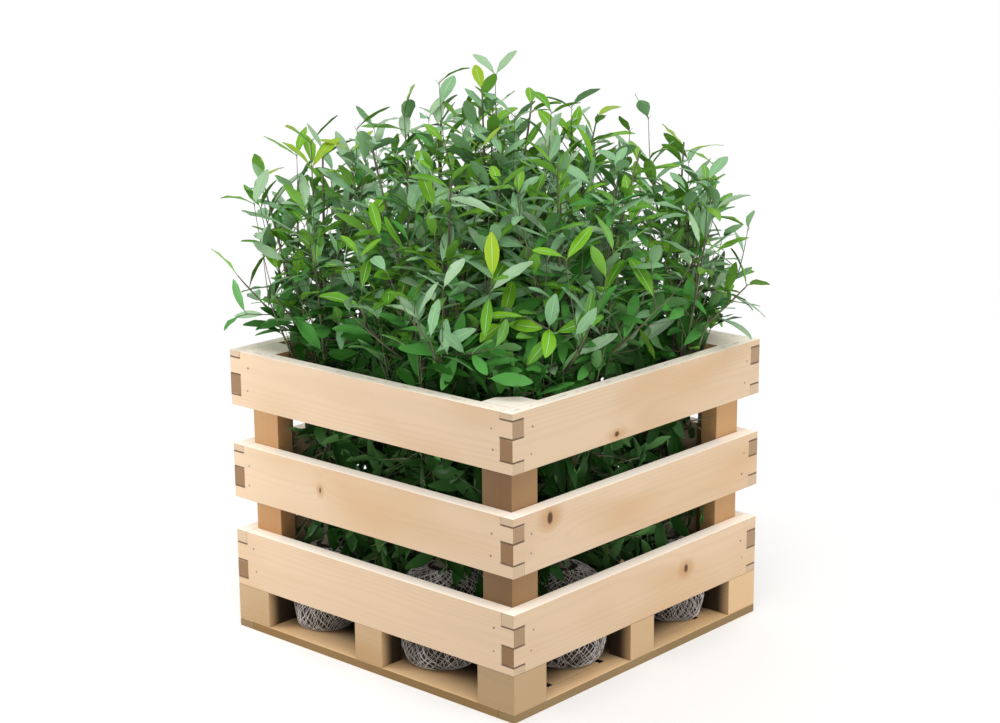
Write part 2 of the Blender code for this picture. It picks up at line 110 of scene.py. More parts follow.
# Root and tip as parts of the leader's height, reach, and turn from straight outwards
SHOOTS = (
    (0.10, 0.36, 0.085, 170),
    (0.16, 0.44, 0.090, -40),
    (0.38, 0.70, 0.120, 75),
    (0.44, 0.60, 0.170, 0),
    (0.52, 0.86, 0.110, -75),
    (0.58, 0.95, 0.085, 155),
)
SHOOT_TURN_VARIES = 15
SHOOT_REACH_VARIES = 0.1
SHOOT_RISE_VARIES = 0.02
SHOOT_TRIES = ((0.0, 1.0), (0.10, 0.9), (0.20, 0.75), (0.0, 0.4))
HIGHEST_AIM = 0.95
TIP_TRIES = 12
TIP_PULL = 0.12
TIP_MARGIN = 0.012
LEADER_EASE = 1.5
SHOOT_EASE = 0.8
SHOOT_SAMPLES = 25
LIMB_MARGIN = 0.004
SEED = 41
GOLDEN_TURN = math.radians(137.508)
UP = np.array((0.0, 0.0, 1.0))


# Meshes from arrays


def mesh_from(name, points, *face_sets):
    """A mesh from an array of points and one or more arrays of faces, one row of corners a face."""
    mesh = bpy.data.meshes.new(name)
    corners = np.concatenate([faces.ravel() for faces in face_sets]).astype(np.int32)
    sizes = np.concatenate([np.full(len(faces), faces.shape[1]) for faces in face_sets])
    starts = np.concatenate(([0], np.cumsum(sizes)[:-1])).astype(np.int32)
    mesh.vertices.add(len(points))
    mesh.vertices.foreach_set("co", np.ascontiguousarray(points, dtype=np.float32).ravel())
    mesh.loops.add(len(corners))
    mesh.loops.foreach_set("vertex_index", corners)
    mesh.polygons.add(len(sizes))
    mesh.polygons.foreach_set("loop_start", starts)
    mesh.polygons.foreach_set("use_smooth", np.ones(len(sizes), dtype=bool))
    mesh.update(calc_edges=True)
    mesh.validate()
    return mesh


def piece_from(mesh, finish, nodes=()):
    """A piece of the object that rides on its one body and stands for the nodes it replaces."""
    mesh.materials.append(finish.material)
    piece = bpy.data.objects.new(mesh.name, mesh)
    bpy.context.scene.collection.objects.link(piece)
    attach(piece, "root")
    if nodes:
        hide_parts(*nodes)
    return piece


def grid_faces(rows, columns, wrap=False):
    """Faces of a grid of points laid out row by row; with wrap its last column joins its first."""
    row, column = np.meshgrid(np.arange(rows - 1), np.arange(columns if wrap else columns - 1),
                              indexing="ij")
    beside = (column + 1) % columns
    quads = np.stack((row * columns + column, row * columns + beside,
                      (row + 1) * columns + beside, (row + 1) * columns + column), axis=-1)
    return quads.reshape(-1, 4)


def repeated(faces, count, stride):
    """The faces of one shape, repeated for count shapes whose points lie stride apart."""
    return (faces[None] + (np.arange(count) * stride)[:, None, None]).reshape(-1, faces.shape[1])


def tube_faces(steps, sides, count=1):
    """Quads and cap triangles of closed tubes, whose points are their rings and then two poles."""
    near = np.arange(sides)
    beside = (near + 1) % sides
    foot = steps * sides
    last = foot - sides
    caps = np.concatenate((np.stack((beside, near, np.full(sides, foot)), axis=1),
                           np.stack((near + last, beside + last, np.full(sides, foot + 1)), axis=1)))
    return [repeated(faces, count, foot + 2) for faces in (grid_faces(steps, sides, wrap=True), caps)]


def angles(count):
    """Angles at even steps once round."""
    return np.arange(count) * math.tau / count


def ring_grid(rings, sides):
    """Part of the way up and angle for every point of a turned piece."""
    return np.meshgrid(np.linspace(0, 1, rings), angles(sides), indexing="ij")


def turned_mesh(name, rings, foot, top):
    """A closed mesh from rows of points, one row a ring, and a pole at each end."""
    points = np.concatenate((rings.reshape(-1, 3), [foot, top]))
    return mesh_from(name, points, *tube_faces(*rings.shape[:2]))


def unit(vectors):
    """Vectors at length one, along the last axis."""
    return vectors / np.maximum(np.linalg.norm(vectors, axis=-1, keepdims=True), 1e-9)


def ripples(points, wavelength, rng):
    """A smooth uneven value about 0: nine plane sine waves in seeded directions, summed, over 3."""
    directions = unit(rng.normal(size=(9, 3))) * (math.tau / wavelength)
    directions *= rng.uniform(0.7, 1.5, size=(9, 1))
    phases = rng.uniform(0, math.tau, 9)
    return np.sin(points @ directions.T + phases).sum(axis=-1) / 3


def tubes(paths, radii, sides):
    """Round closed tubes: rings of the given radii across each path, and a pole at each end.

    paths is (tubes, steps, 3) and radii (tubes, steps). Point = path + radius x (side x cos a +
    other x sin a), with side square to the path and to the axis that the path leans on least.
    """
    count, steps, _three = paths.shape
    directions = unit(np.gradient(paths, axis=1))
    least = np.argmin(np.abs(paths[:, -1] - paths[:, 0]), axis=1)
    axis = np.eye(3)[least][:, None]
    side = unit(axis - directions * (directions * axis).sum(axis=-1, keepdims=True))
    other = np.cross(directions, side)
    angle = angles(sides)[:, None]
    rings = paths[:, :, None] + radii[:, :, None, None] * (
        side[:, :, None] * np.cos(angle) + other[:, :, None] * np.sin(angle))
    points = np.concatenate((rings.reshape(count, steps * sides, 3), paths[:, :1], paths[:, -1:]), axis=1)
    return points.reshape(-1, 3), *tube_faces(steps, sides, count)


def joined(parts):
    """Several sets of points, quads and triangles as one."""
    offsets = np.cumsum([0] + [len(points) for points, _quads, _triangles in parts])
    moved = [(points, quads + offset, triangles + offset)
             for (points, quads, triangles), offset in zip(parts, offsets)]
    return [np.concatenate(kind) for kind in zip(*moved)]


# Materials


def maths(operation, reflected=False):
    """A method of Term that adds one Math node; reflected puts the term's own value second."""
    def method(self, *others):
        return self.finish.math(operation, *((*others, self) if reflected else (self, *others)))
    return method


class Term:
    """A value on its way through a material; arithmetic on a number adds Math nodes."""

    def __init__(self, finish, socket):
        self.finish = finish
        self.socket = socket

    __add__ = __radd__ = maths("ADD")
    __mul__ = __rmul__ = maths("MULTIPLY")
    __sub__ = maths("SUBTRACT")
    __rsub__ = maths("SUBTRACT", reflected=True)
    __truediv__ = maths("DIVIDE")
    __rtruediv__ = maths("DIVIDE", reflected=True)
    __pow__ = maths("POWER")
    __abs__ = maths("ABSOLUTE")


class Finish:
    """A Principled material, its nodes added by short methods."""

    def __init__(self, name, colour, constants):
        self.material = bpy.data.materials.new(name)
        self.material.use_nodes = True
        self.material.diffuse_color = (*colour, 1.0)
        self.tree = self.material.node_tree
        self.shader = self.tree.nodes["Principled BSDF"]
        for socket, value in {"Base Color": (*colour, 1.0), **constants}.items():
            self.shader.inputs[socket].default_value = value

    def node(self, kind, settings=None, sockets=None):
        """Adds a node: its settings first, then a value or a link for each named socket."""
        made = self.tree.nodes.new(kind)
        for key, value in (settings or {}).items():
            setattr(made, key, value)
        for key, value in (sockets or {}).items():
            if isinstance(value, Term):
                self.tree.links.new(value.socket, made.inputs[key])
            else:
                made.inputs[key].default_value = value
        return made

    def term(self, kind, settings=None, sockets=None, output=0):
        """Adds a node and gives one of its outputs as a term."""
        return Term(self, self.node(kind, settings, sockets).outputs[output])

    def math(self, operation, *values):
        """A Math node on terms and plain numbers."""
        return self.term("ShaderNodeMath", {"operation": operation}, dict(enumerate(values)))

    def clamp(self, value):
        """The value kept between 0 and 1."""
        return self.term("ShaderNodeClamp", None, {"Value": value})

    def ramp(self, value, low, high):
        """A smooth rise from 0 to 1 as the value goes from low to high."""
        return self.term("ShaderNodeMapRange", {"interpolation_type": "SMOOTHSTEP"},
                         {"Value": value, "From Min": low, "From Max": high})

    def where(self, output="Object"):
        """The object coordinates, or the normal, as one vector."""
        return self.term("ShaderNodeTexCoord", output=output)

    def place(self, output="Object"):
        """The three parts of the object coordinates, or of the normal."""
        split = self.node("ShaderNodeSeparateXYZ", None, {0: self.where(output)})
        return [Term(self, split.outputs[axis]) for axis in range(3)]

    def vector(self, x, y, z):
        """A vector from three terms or numbers."""
        return self.term("ShaderNodeCombineXYZ", None, {0: x, 1: y, 2: z})

    def noise(self, vector, scale=1.0, detail=2.0, roughness=0.5):
        """Noise from about 0 to 1 at a point."""
        return self.term("ShaderNodeTexNoise", None,
                         {"Vector": vector, "Scale": scale, "Detail": detail, "Roughness": roughness})

    def mix(self, amount, first, second):
        """A colour between two, each a term or a plain colour."""
        colours = [part if isinstance(part, Term) else (*part, 1.0) for part in (first, second)]
        return self.term("ShaderNodeMix", {"data_type": "RGBA"}, {0: amount, 6: colours[0], 7: colours[1]}, 2)

    def feed(self, socket, value):
        """Links a term to a socket of the shader."""
        self.tree.links.new(value.socket, self.shader.inputs[socket])

    def bump(self, height, distance):
        """Raises the surface by the height times the distance."""
        self.feed("Normal", self.term("ShaderNodeBump", None, {"Height": height, "Distance": distance}))


def shade(colour, factor):
    """A colour made lighter or darker."""
    return tuple(part * factor for part in colour)


# Growth rings: their width, how far noise makes them wander, and how far a knot pushes them and
# how fast that fades
RING_WIDTH = 0.0058
RING_WANDER = 0.020
KNOT_PUSH = 0.012
KNOT_FADES = 0.12
# Noise for wandering, broad streaks and fibres: stretch along the grain, shift by the board's
# tone, stretch on the two axes across it, detail and roughness
GRAIN_NOISES = ((1.6, 7, 9, 9, 2.0, 0.5), (2.2, 31, 5, 7, 1.0, 0.5), (9, 0, 420, 420, 2.0, 0.6))
# Shares of rings, fibres and broad streaks in the light and dark of the grain
RING_SHARE = 0.20
FIBRE_SHARE = 0.30
STREAK_SHARE = 0.8
# Reddish wood round a knot: its length and height as multiples of the knot's
HALO_LONG = 4.6
HALO_HIGH = 2.4
HALO_STRENGTH = 0.72
# Where knot and halo fade, as distances from the knot's middle
KNOT_EDGE = (0.9, 1.5)
HALO_EDGE = (0.15, 1.15)
# How much of the board's colour its lightest and darkest grain have, and its warm streaks
GRAIN_LIGHT = 1.06
GRAIN_DARK = 0.84
WARM_STREAK = (0.92, 0.77, 0.58)
# From which noise on the streaks show, and how fast they grow with it
STREAK_FROM = 0.48
STREAK_RISE = 2.4
# Lightest and darkest end grain, and the darkest grain of upper faces with painted light and of stained ends
END_LIGHT = 0.96
END_DARK = 0.74
LIT_TOP_DARK = 0.9
STAIN_DARK = 0.55
# Colours of the wood round a knot, of a knot, of slits and stain, and the near black of painted shade
KNOT_RED = (0.40, 0.215, 0.085)
KNOT_DARK = (0.045, 0.017, 0.005)
KNOT_HEART = (0.12, 0.050, 0.016)
SLIT_BROWN = (0.075, 0.034, 0.012)
STAINED_END = (0.21, 0.100, 0.030)
SHADE_BLACK = (0.012, 0.008, 0.005)
# Distance from the middle over which the painted shade under and inside the crate fades, on upright sides and
# on flat ones
INSIDE_SHADE_SIDES = (0.460, 0.4985)
INSIDE_SHADE_FLOOR = (0.355, 0.450)
# How square a face must look along an axis to count as an end, an upper face with painted light, a flat, or
# the side that carries painted shade
END_FACING = (0.6, 0.9)
LIT_TOP_FACING = (0.5, 0.9)
FLAT_FACING = (0.3, 0.7)
SHADE_SIDE_FACING = (0.4, 0.8)
# Distances over which the seam, a slit and the stain fade, and where the seam is broken
SEAM_EDGE = (0.0008, 0.0026)
SLIT_EDGE = (0.0012, 0.0032)
STAIN_EDGE = 0.003
SEAM_BREAKS = (0.46, 0.60)
# Where along a slat its slits begin
CORNER_EDGE = (INNER - 0.004, INNER + 0.002)
# How far noise moves the edges of halo and heart, as parts of the knot, and of other marks in metres
UNEVEN = {"halo": 1.1, "heart": 0.8, "stain": 0.012, "seam": 0.006, "slit": 0.0015, "corner": 0.004,
          "floor": 0.03}
# How strongly seam, slits and the painted shade under the crate show, and the painted shade on upright sides
# with what broad noise adds to it
SEAM_STRENGTH = 0.6
SLIT_STRENGTH = 0.85
INSIDE_SHADE_STRENGTH = 0.95
SIDE_SHADE_STRENGTH = 0.82
SIDE_SHADE_VARIES = 0.3
# Height of the grain, and the rings' share in it
GRAIN_RELIEF = 0.0002
RING_RELIEF = 0.3


def from_knot(length, height, knot, long=1.0, high=1.0):
    """Distance from a knot's middle, which is 1 on its oval or on one drawn out by two factors."""
    return (((length - knot[0]) / (knot[2] * long)) ** 2 +
            ((height - knot[1]) / (knot[3] * high)) ** 2) ** 0.5


def spruce(name, colour, along, pith, tone, knot=None, ends=1.0, lit_top=None, seam=None, cuts=(),
           stain=None, damp=False, sides=None, painted_lee_shade=0.0):
    """Sawn spruce: growth rings round a pith line, fibres, a knot, and end grain.

    along is the axis of the grain and pith the place of the pith line on the next two axes. The
    rings are a sine of the distance from that line, which noise makes wander. A knot is its place
    along the board, its height, half its length and half its height. ends makes the end grain
    paler or darker. The colour given for the upper side is pale, as painted light from above, and
    seam is the axis and place of a thin line on it. cuts are the heights of the finger cuts, which
    show as dark slits, and stain is the lowest and highest point of the end grain that is stained
    brown, and how strongly. With damp the wood is painted nearly black as shade under and inside
    the crate, away from its outer faces, and sides is then the colour of painted shade on its
    upright sides. The last argument is how much painted shade darkens the side towards low x.
    """
    finish = Finish(name, colour, {"Roughness": 0.6, "Specular IOR Level": 0.22})
    place, facing = finish.place(), finish.place("Normal")
    length, first, second = (place[(along + step) % 3] for step in range(3))
    height = place[2]
    wander, broad, fibre = (
        finish.noise(finish.vector(length * run + tone * shift, first * wide, second * tall), 1.0, *fineness)
        for run, shift, wide, tall, *fineness in GRAIN_NOISES)
    distance = ((first - pith[0]) ** 2 + (second - pith[1]) ** 2) ** 0.5 + wander * RING_WANDER
    if knot is not None:
        off = from_knot(length, height, knot)
        distance = distance + 1 / (1 + off ** 2 * KNOT_FADES) * KNOT_PUSH
    rings = (finish.math("SINE", distance * (math.tau / RING_WIDTH)) * 0.5 + 0.5) ** 2.0
    summer = finish.clamp(rings * RING_SHARE + fibre * FIBRE_SHARE + (broad - 0.5) * STREAK_SHARE)
    surface = finish.mix(summer, shade(colour, GRAIN_LIGHT), shade(colour, GRAIN_DARK))
    warm = [part * factor for part, factor in zip(colour, WARM_STREAK)]
    surface = finish.mix(finish.clamp((broad - STREAK_FROM) * STREAK_RISE), surface, warm)
    if knot is not None:
        wide = from_knot(length, height, knot, HALO_LONG, HALO_HIGH)
        halo = 1 - finish.ramp(wide + (wander - 0.5) * UNEVEN["halo"], *HALO_EDGE)
        heart = 1 - finish.ramp(off + wander * UNEVEN["heart"], *KNOT_EDGE)
        surface = finish.mix(halo * HALO_STRENGTH, surface, KNOT_RED)
        surface = finish.mix(heart, surface, finish.mix(fibre, KNOT_DARK, KNOT_HEART))
    end_rings = finish.clamp(rings * 0.5 + fibre * 0.5)
    end = finish.mix(end_rings, shade(colour, END_LIGHT * ends), shade(colour, END_DARK * ends))
    if stain is not None:
        low, high, strength = stain
        level = height + (wander - 0.5) * UNEVEN["stain"]
        stained = finish.ramp(level, low, low + STAIN_EDGE) * \
            (1 - finish.ramp(level, high - STAIN_EDGE, high))
        brown = finish.mix(end_rings, STAINED_END, shade(STAINED_END, STAIN_DARK))
        end = finish.mix(stained * strength, end, brown)
    surface = finish.mix(finish.ramp(abs(facing[along]), *END_FACING), surface, end)
    # Painted light: upper faces take a pale colour, as if lit from above
    if lit_top is not None:
        lit_top_grain = finish.mix(summer, shade(lit_top, GRAIN_LIGHT), shade(lit_top, LIT_TOP_DARK))
        surface = finish.mix(finish.ramp(facing[2], *LIT_TOP_FACING), surface, lit_top_grain)
    if seam is not None:
        axis, middle = seam
        off_line = abs(place[axis] - middle + (wander - 0.5) * UNEVEN["seam"])
        line = (1 - finish.ramp(off_line, *SEAM_EDGE)) * finish.ramp(facing[2], *END_FACING)
        broken = finish.ramp(finish.noise(finish.vector(length * 24 + tone * 9, 0.0, 0.0)), *SEAM_BREAKS)
        surface = finish.mix(line * broken * SEAM_STRENGTH, surface, SLIT_BROWN)
    if cuts:
        rough = (fibre - 0.5) * UNEVEN["slit"]
        slits = sum(1 - finish.ramp(abs(height - cut + rough), *SLIT_EDGE) for cut in cuts)
        corner = finish.ramp(abs(length) + (fibre - 0.5) * UNEVEN["corner"], *CORNER_EDGE)
        surface = finish.mix(finish.clamp(slits) * corner * SLIT_STRENGTH, surface, SLIT_BROWN)
    # Painted shade under and inside the crate: darker upright sides, and near black away from the outer faces
    if damp:
        flat = finish.ramp(abs(facing[2]), *FLAT_FACING)
        if sides is not None:
            surface = finish.mix((1 - flat) * (SIDE_SHADE_STRENGTH + broad * SIDE_SHADE_VARIES), surface, sides)
        outer = finish.math("MAXIMUM", abs(place[0]), abs(place[1]))
        unshaded_floor = finish.ramp(outer + (wander - 0.5) * UNEVEN["floor"], *INSIDE_SHADE_FLOOR)
        unshaded = flat * unshaded_floor + (1 - flat) * finish.ramp(outer, *INSIDE_SHADE_SIDES)
        surface = finish.mix((1 - unshaded) * INSIDE_SHADE_STRENGTH, surface, SHADE_BLACK)
    # Painted shade on the side towards low x
    if painted_lee_shade:
        surface = finish.mix(finish.ramp(-1 * facing[0], *SHADE_SIDE_FACING) * painted_lee_shade, surface, SHADE_BLACK)
    finish.feed("Base Color", surface)
    finish.bump(rings * RING_RELIEF + fibre, GRAIN_RELIEF)
    return finish


def blotched(name, colour, other, roughness, noise, spread):
    """A surface with blotches of another colour; noise is their scale, detail and roughness."""
    finish = Finish(name, colour, {"Roughness": roughness})
    blots = finish.noise(finish.where(), *noise)
    finish.feed("Base Color", finish.mix(finish.ramp(blots, *spread), colour, other))
    return finish, blots


# Bark: how close its cracks and its pale patches lie, between which noise each grows, and how dark
# and deep the cracks are
CRACK_SCALE = (260, 260, 60)
PATCH_SCALE = 22.0
CRACK_EDGE = (0.5, 0.8)
PATCH_EDGE = (0.42, 0.68)
CRACK_STRENGTH = 0.6
CRACK_DARK = 0.5
CRACK_DEPTH = 0.0006


def bark(name, colour, pale):
    """Thin laurel bark: dark grey-brown, with pale patches and fine upright cracks."""
    finish = Finish(name, colour, {"Roughness": 0.8})
    drawn_out = [place * scale for place, scale in zip(finish.place(), CRACK_SCALE)]
    cracks = finish.noise(finish.vector(*drawn_out), 1.0, detail=3.0, roughness=0.6)
    patches = finish.noise(finish.where(), PATCH_SCALE)
    surface = finish.mix(finish.ramp(patches, *PATCH_EDGE), colour, pale)
    dark = finish.ramp(cracks, *CRACK_EDGE) * CRACK_STRENGTH
    finish.feed("Base Color", finish.mix(dark, surface, shade(colour, CRACK_DARK)))
    finish.bump(cracks, CRACK_DEPTH)
    return finish


def plain_leaf(name, colour, roughness, gleam):
    """A leaf surface in one colour, waxy or dull. The colours differ from spray to spray."""
    return Finish(name, colour, {"Roughness": roughness, "Specular IOR Level": gleam})


# Crate


def board(name, outline, axis, low, high):
    """A board: a flat outline carried straight along an axis, and closed by two caps.

    The outline's points are places on the two axes that follow the given one.
    """
    outline = np.array(outline, dtype=float)
    ahead = np.roll(outline, -1, axis=0)
    if (outline[:, 0] * ahead[:, 1] - outline[:, 1] * ahead[:, 0]).sum() < 0:
        outline = outline[::-1]
    count = len(outline)
    points = np.empty((2 * count, 3))
    points[:, (axis + 1) % 3] = np.tile(outline[:, 0], 2)
    points[:, (axis + 2) % 3] = np.tile(outline[:, 1], 2)
    points[:, axis] = np.repeat((low, high), count)
    caps = np.stack((np.arange(count)[::-1], np.arange(count) + count))
    return mesh_from(name, points, grid_faces(2, count, wrap=True), caps)


def sawn(node, outline, axis, finish, arris):
    """A board in place of its node, its arrises a little rounded as a planer leaves them."""
    low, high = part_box(node)
    mesh = board("spruce_" + node, outline, axis, low[axis], high[axis])
    bevel = piece_from(mesh, finish, [node]).modifiers.new("arris", "BEVEL")
    bevel.width = arris
    bevel.segments = 2
    bevel.limit_method = "ANGLE"
    bevel.angle_limit = math.radians(35)
    bevel.harden_normals = True


def nodes_named(*starts):
    """The frame's nodes whose names start with one of these words, in order."""
    return sorted(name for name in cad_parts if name.startswith(starts))


def finger_ends(tier, owner):
    """Reach, bottom and top of the four bands of a slat's end, its own fingers out to the corner."""
    low, high = (corner.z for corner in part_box(f"slat_{tier}_front"))
    edges = [low] + [high - cut * (high - low) for cut in reversed(FINGER_CUTS[tier])] + [high]
    bands = []
    for index, owned_by in enumerate(("left", "right", "left", "right")):
        reach = HALF if owned_by == owner else INNER - CLEAR
        # the shorter of two neighbouring bands takes up the clearance between them
        slack = CLEAR / 2 if owned_by == owner else -CLEAR / 2
        bottom = edges[index] + (slack if index > 0 else 0)
        top = edges[index + 1] - (slack if index < 3 else 0)
        bands.append((reach, bottom, top))
    return bands


def slat_outline(tier, owner):
    """Half lengths and heights round a slat."""
    right = []
    for reach, bottom, top in finger_ends(tier, owner):
        right.extend([(reach, bottom), (reach, top)])
    return right + [(-reach, height) for reach, height in reversed(right)]


# Knots seen in the faces: place along, height, half length and half height
KNOTS = {
    ("top", "front"): (-0.111, 0.644, 0.011, 0.009),
    ("mid", "front"): (-0.366, 0.490, 0.011, 0.017),
    ("low", "front"): (0.184, 0.212, 0.009, 0.013),
    ("mid", "left"): (0.164, 0.455, 0.004, 0.010),
    ("top", "back"): (0.230, 0.700, 0.012, 0.010),
    ("mid", "right"): (-0.170, 0.430, 0.010, 0.013),
    ("low", "back"): (-0.310, 0.190, 0.010, 0.008),
    ("low", "right"): (0.280, 0.215, 0.011, 0.010),
}
# Which band of a slat's end is stained, and how strongly, on slats along x and on slats along y
END_STAINS = {True: (1, 0.85), False: (2, 0.55)}
# How far behind a slat's face its pith lies, in slats, how far off its middle, and how light slats are
PITH_DEPTHS = (1.5, 3.5)
PITH_SHIFT = 0.05
SLAT_TONES = (0.96, 1.03)


def slats(settings):
    """Twelve slats with locked fingers, each with its own grain."""
    chance = random.Random(5)
    for tier, side in itertools.product(TIERS, SIDES):
        node = f"slat_{tier}_{side}"
        low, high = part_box(node)
        middle = (low + high) / 2
        across = side in ("front", "back")
        along, through, owner = (0, 1, "right") if across else (1, 0, "left")
        outline = slat_outline(tier, owner)
        if across:
            outline = [(height, reach) for reach, height in outline]
        deep = SLAT_T * chance.uniform(*PITH_DEPTHS)
        shift = chance.uniform(-PITH_SHIFT, PITH_SHIFT)
        # the pith lies behind the face and off its middle, on the two axes after the grain's
        pith = (middle.y + deep, middle.z + shift) if across else (middle.z + shift, middle.x + deep)
        tone = chance.uniform(*SLAT_TONES)
        bands = finger_ends(tier, owner)
        band, strength = END_STAINS[across]
        finish = spruce(f"spruce_{tier}_{side}", shade(settings.slat_colour, tone), along, pith, tone,
                        knot=KNOTS.get((tier, side)), lit_top=settings.lit_top_colour,
                        seam=(through, middle[through]) if tier == "top" else None,
                        cuts=[top for _reach, _bottom, top in bands[:3]], stain=(*bands[band][1:], strength))
        sawn(node, outline, through, finish, settings.arris)


def box_outline(low, high, axis):
    """The rectangle of a box on the two axes that follow the given one."""
    first, second = (axis + 1) % 3, (axis + 2) % 3
    return [(low[first], low[second]), (high[first], low[second]),
            (high[first], high[second]), (low[first], high[second])]


# How light single blocks and posts, the ends of blocks, and rails and floor boards are. The near post is
# darker as painted shade in its recess, and the blocks' dark sides against their paler ends are painted shade
BLOCK_TONES = {"block_front_left": 0.76, "block_mid_front": 0.90}
POST_TONES_AND_SHADE = {"post_front_left": 0.70, "post_front_right": 1.0,
              "post_back_left": 0.95, "post_back_right": 0.90}
# Painted shade on the near post's side towards low x
POST_PAINTED_SHADE = {"post_front_left": 0.42}
BLOCK_ENDS = 1.42
FLOOR_TONE = 1.60
# Colours of painted shade on the upright sides of rails and floor boards
SHADED_UPRIGHT_SIDES = {"base": (0.205, 0.135, 0.058), "floor": (0.200, 0.118, 0.040)}
# Outline of a post inwards from its corner, along x and y
POST_STEPS = ((0, 0), (POST_LEG, 0), (POST_LEG, POST_EDGE), (POST_EDGE, POST_LEG), (0, POST_LEG))


def base(settings):
    """Rails, floor boards and blocks, and the posts that stand on them behind the slats."""
    chance = random.Random(17)
    for name in nodes_named("base_rail", "floor_board", "block"):
        low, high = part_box(name)
        block = name.startswith("block")
        along = 0 if name.startswith("base") else 1
        middle = (low + high) / 2
        pith = (middle[(along + 1) % 3] + chance.uniform(-0.06, 0.06),
                middle[(along + 2) % 3] + chance.uniform(0.05, 0.12))
        tone = chance.uniform(0.92, 1.06) * BLOCK_TONES.get(name, 1.0 if block else FLOOR_TONE)
        finish = spruce("spruce_" + name, shade(settings.block_colour, tone), along, pith, tone,
                        ends=BLOCK_ENDS if block else 1.0, damp=True,
                        sides=SHADED_UPRIGHT_SIDES.get(name.split("_")[0]))
        sawn(name, box_outline(low, high, along), along, finish, settings.arris)
    for name in nodes_named("post"):
        low, _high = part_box(name)
        x_sign, y_sign = (1 if side > 0 else -1 for side in low.xy)
        corner = INNER - CLEAR
        outline = [(x_sign * (corner - a), y_sign * (corner - b)) for a, b in POST_STEPS]
        tone = chance.uniform(0.95, 1.05) * POST_TONES_AND_SHADE[name]
        finish = spruce("spruce_" + name, shade(settings.post_colour, tone), 2,
                        (x_sign * INNER * 1.05, y_sign * INNER * 0.9), tone, lit_top=settings.lit_top_colour,
                        painted_lee_shade=POST_PAINTED_SHADE.get(name, 0.0))
        sawn(name, outline, 2, finish, settings.arris)


# Nails at two parts of a slat's height, this far from its end, and how uneven both are
NAIL_PLACES = (0.30, 0.68)
NAIL_FROM_CORNER = 0.066
NAIL_ALONG_CHANCE = 0.008
NAIL_HEIGHT_CHANCE = 0.05
NAIL_SIDES = 10
# Radius and rise of a nail head's rings as parts of its own: a sunk rim, then a shallow dome
NAIL_RINGS = ((1.0, -0.5), (0.98, 0.55), (0.6, 0.9))


def nails(settings):
    """Nail heads, two at each end of every slat: rings about the slat's own square, and a pole at each end.

    Point = place + side x radius x cos a + up x radius x sin a + outwards x rise.
    """
    rng = np.random.default_rng(23)
    places, outwards = [], []
    for tier, side, end, part in itertools.product(TIERS, SIDES, (-1, 1), NAIL_PLACES):
        low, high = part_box(f"slat_{tier}_{side}")
        sign = -1 if side in ("front", "left") else 1
        face = 1 if side in ("front", "back") else 0
        place = np.zeros(3)
        place[face] = sign * HALF
        place[1 - face] = end * (HALF - NAIL_FROM_CORNER + rng.uniform(-NAIL_ALONG_CHANCE, NAIL_ALONG_CHANCE))
        place[2] = low.z + (high.z - low.z) * (part + rng.uniform(-NAIL_HEIGHT_CHANCE, NAIL_HEIGHT_CHANCE))
        places.append(place)
        outwards.append(np.eye(3)[face] * sign)
    places, outwards = np.array(places)[:, None, None], np.array(outwards)[:, None, None]
    radii, rises = np.array(NAIL_RINGS).T
    ring = radii[:, None] * settings.nail_radius
    rises = rises[:, None, None] * settings.nail_rise
    angle = angles(NAIL_SIDES)
    rings = places + np.cross(UP, outwards) * (ring * np.cos(angle))[..., None] + \
        UP * (ring * np.sin(angle))[..., None] + outwards * rises
    poles = [places[:, 0] + outwards[:, 0] * rise for rise in (rises[0], settings.nail_rise)]
    points = np.concatenate((rings.reshape(len(rings), -1, 3), *poles), axis=1)
    mesh = mesh_from("nail_heads", points.reshape(-1, 3), *tube_faces(len(ring), NAIL_SIDES, len(points)))
    steel = Finish("nail_steel", (0.20, 0.17, 0.14), {"Roughness": 0.45, "Metallic": 0.8})
    rust = steel.ramp(steel.noise(steel.where(), 90.0, 3.0), 0.4, 0.65)
    steel.feed("Base Color", steel.mix(rust, (0.30, 0.28, 0.26), (0.13, 0.075, 0.04)))
    piece_from(mesh, steel)


# Root balls and their nets

# Radius of a ball's foot and crown, height where it is widest, and how full its lower half is
BALL_FOOT = 0.050
BALL_CROWN = 0.040
BALL_WIDEST = 0.190
BALL_SAG = 0.50
# How far the outer balls have slumped outwards, below which height, and over what height it fades
BALL_SLUMP = 0.021
SLUMP_TOP = 0.118
SLUMP_FADE = 0.045
# Folds of a ball as wavelength and height, how far it lies inside the solid, and the limits of both
BALL_FOLDS = ((0.09, 0.0035), (0.024, 0.0012))
BALL_SHRINK = 0.0045
BALL_LIMITS = (-0.010, -0.0012)
# Distances from foot and crown over which the folds begin, and the surface turns upright
FOLDS_FADE = 0.02
FOOT_FADE = 0.05
BALL_RINGS = 40
BALL_SIDES = 72


@functools.cache
def root_ball(number):
    """Middle along x and y, radius, foot and top of a root ball."""
    low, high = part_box(f"root_ball_{number}")
    middle = (low + high) / 2
    return middle.x, middle.y, (high.x - low.x) / 2, low.z, high.z


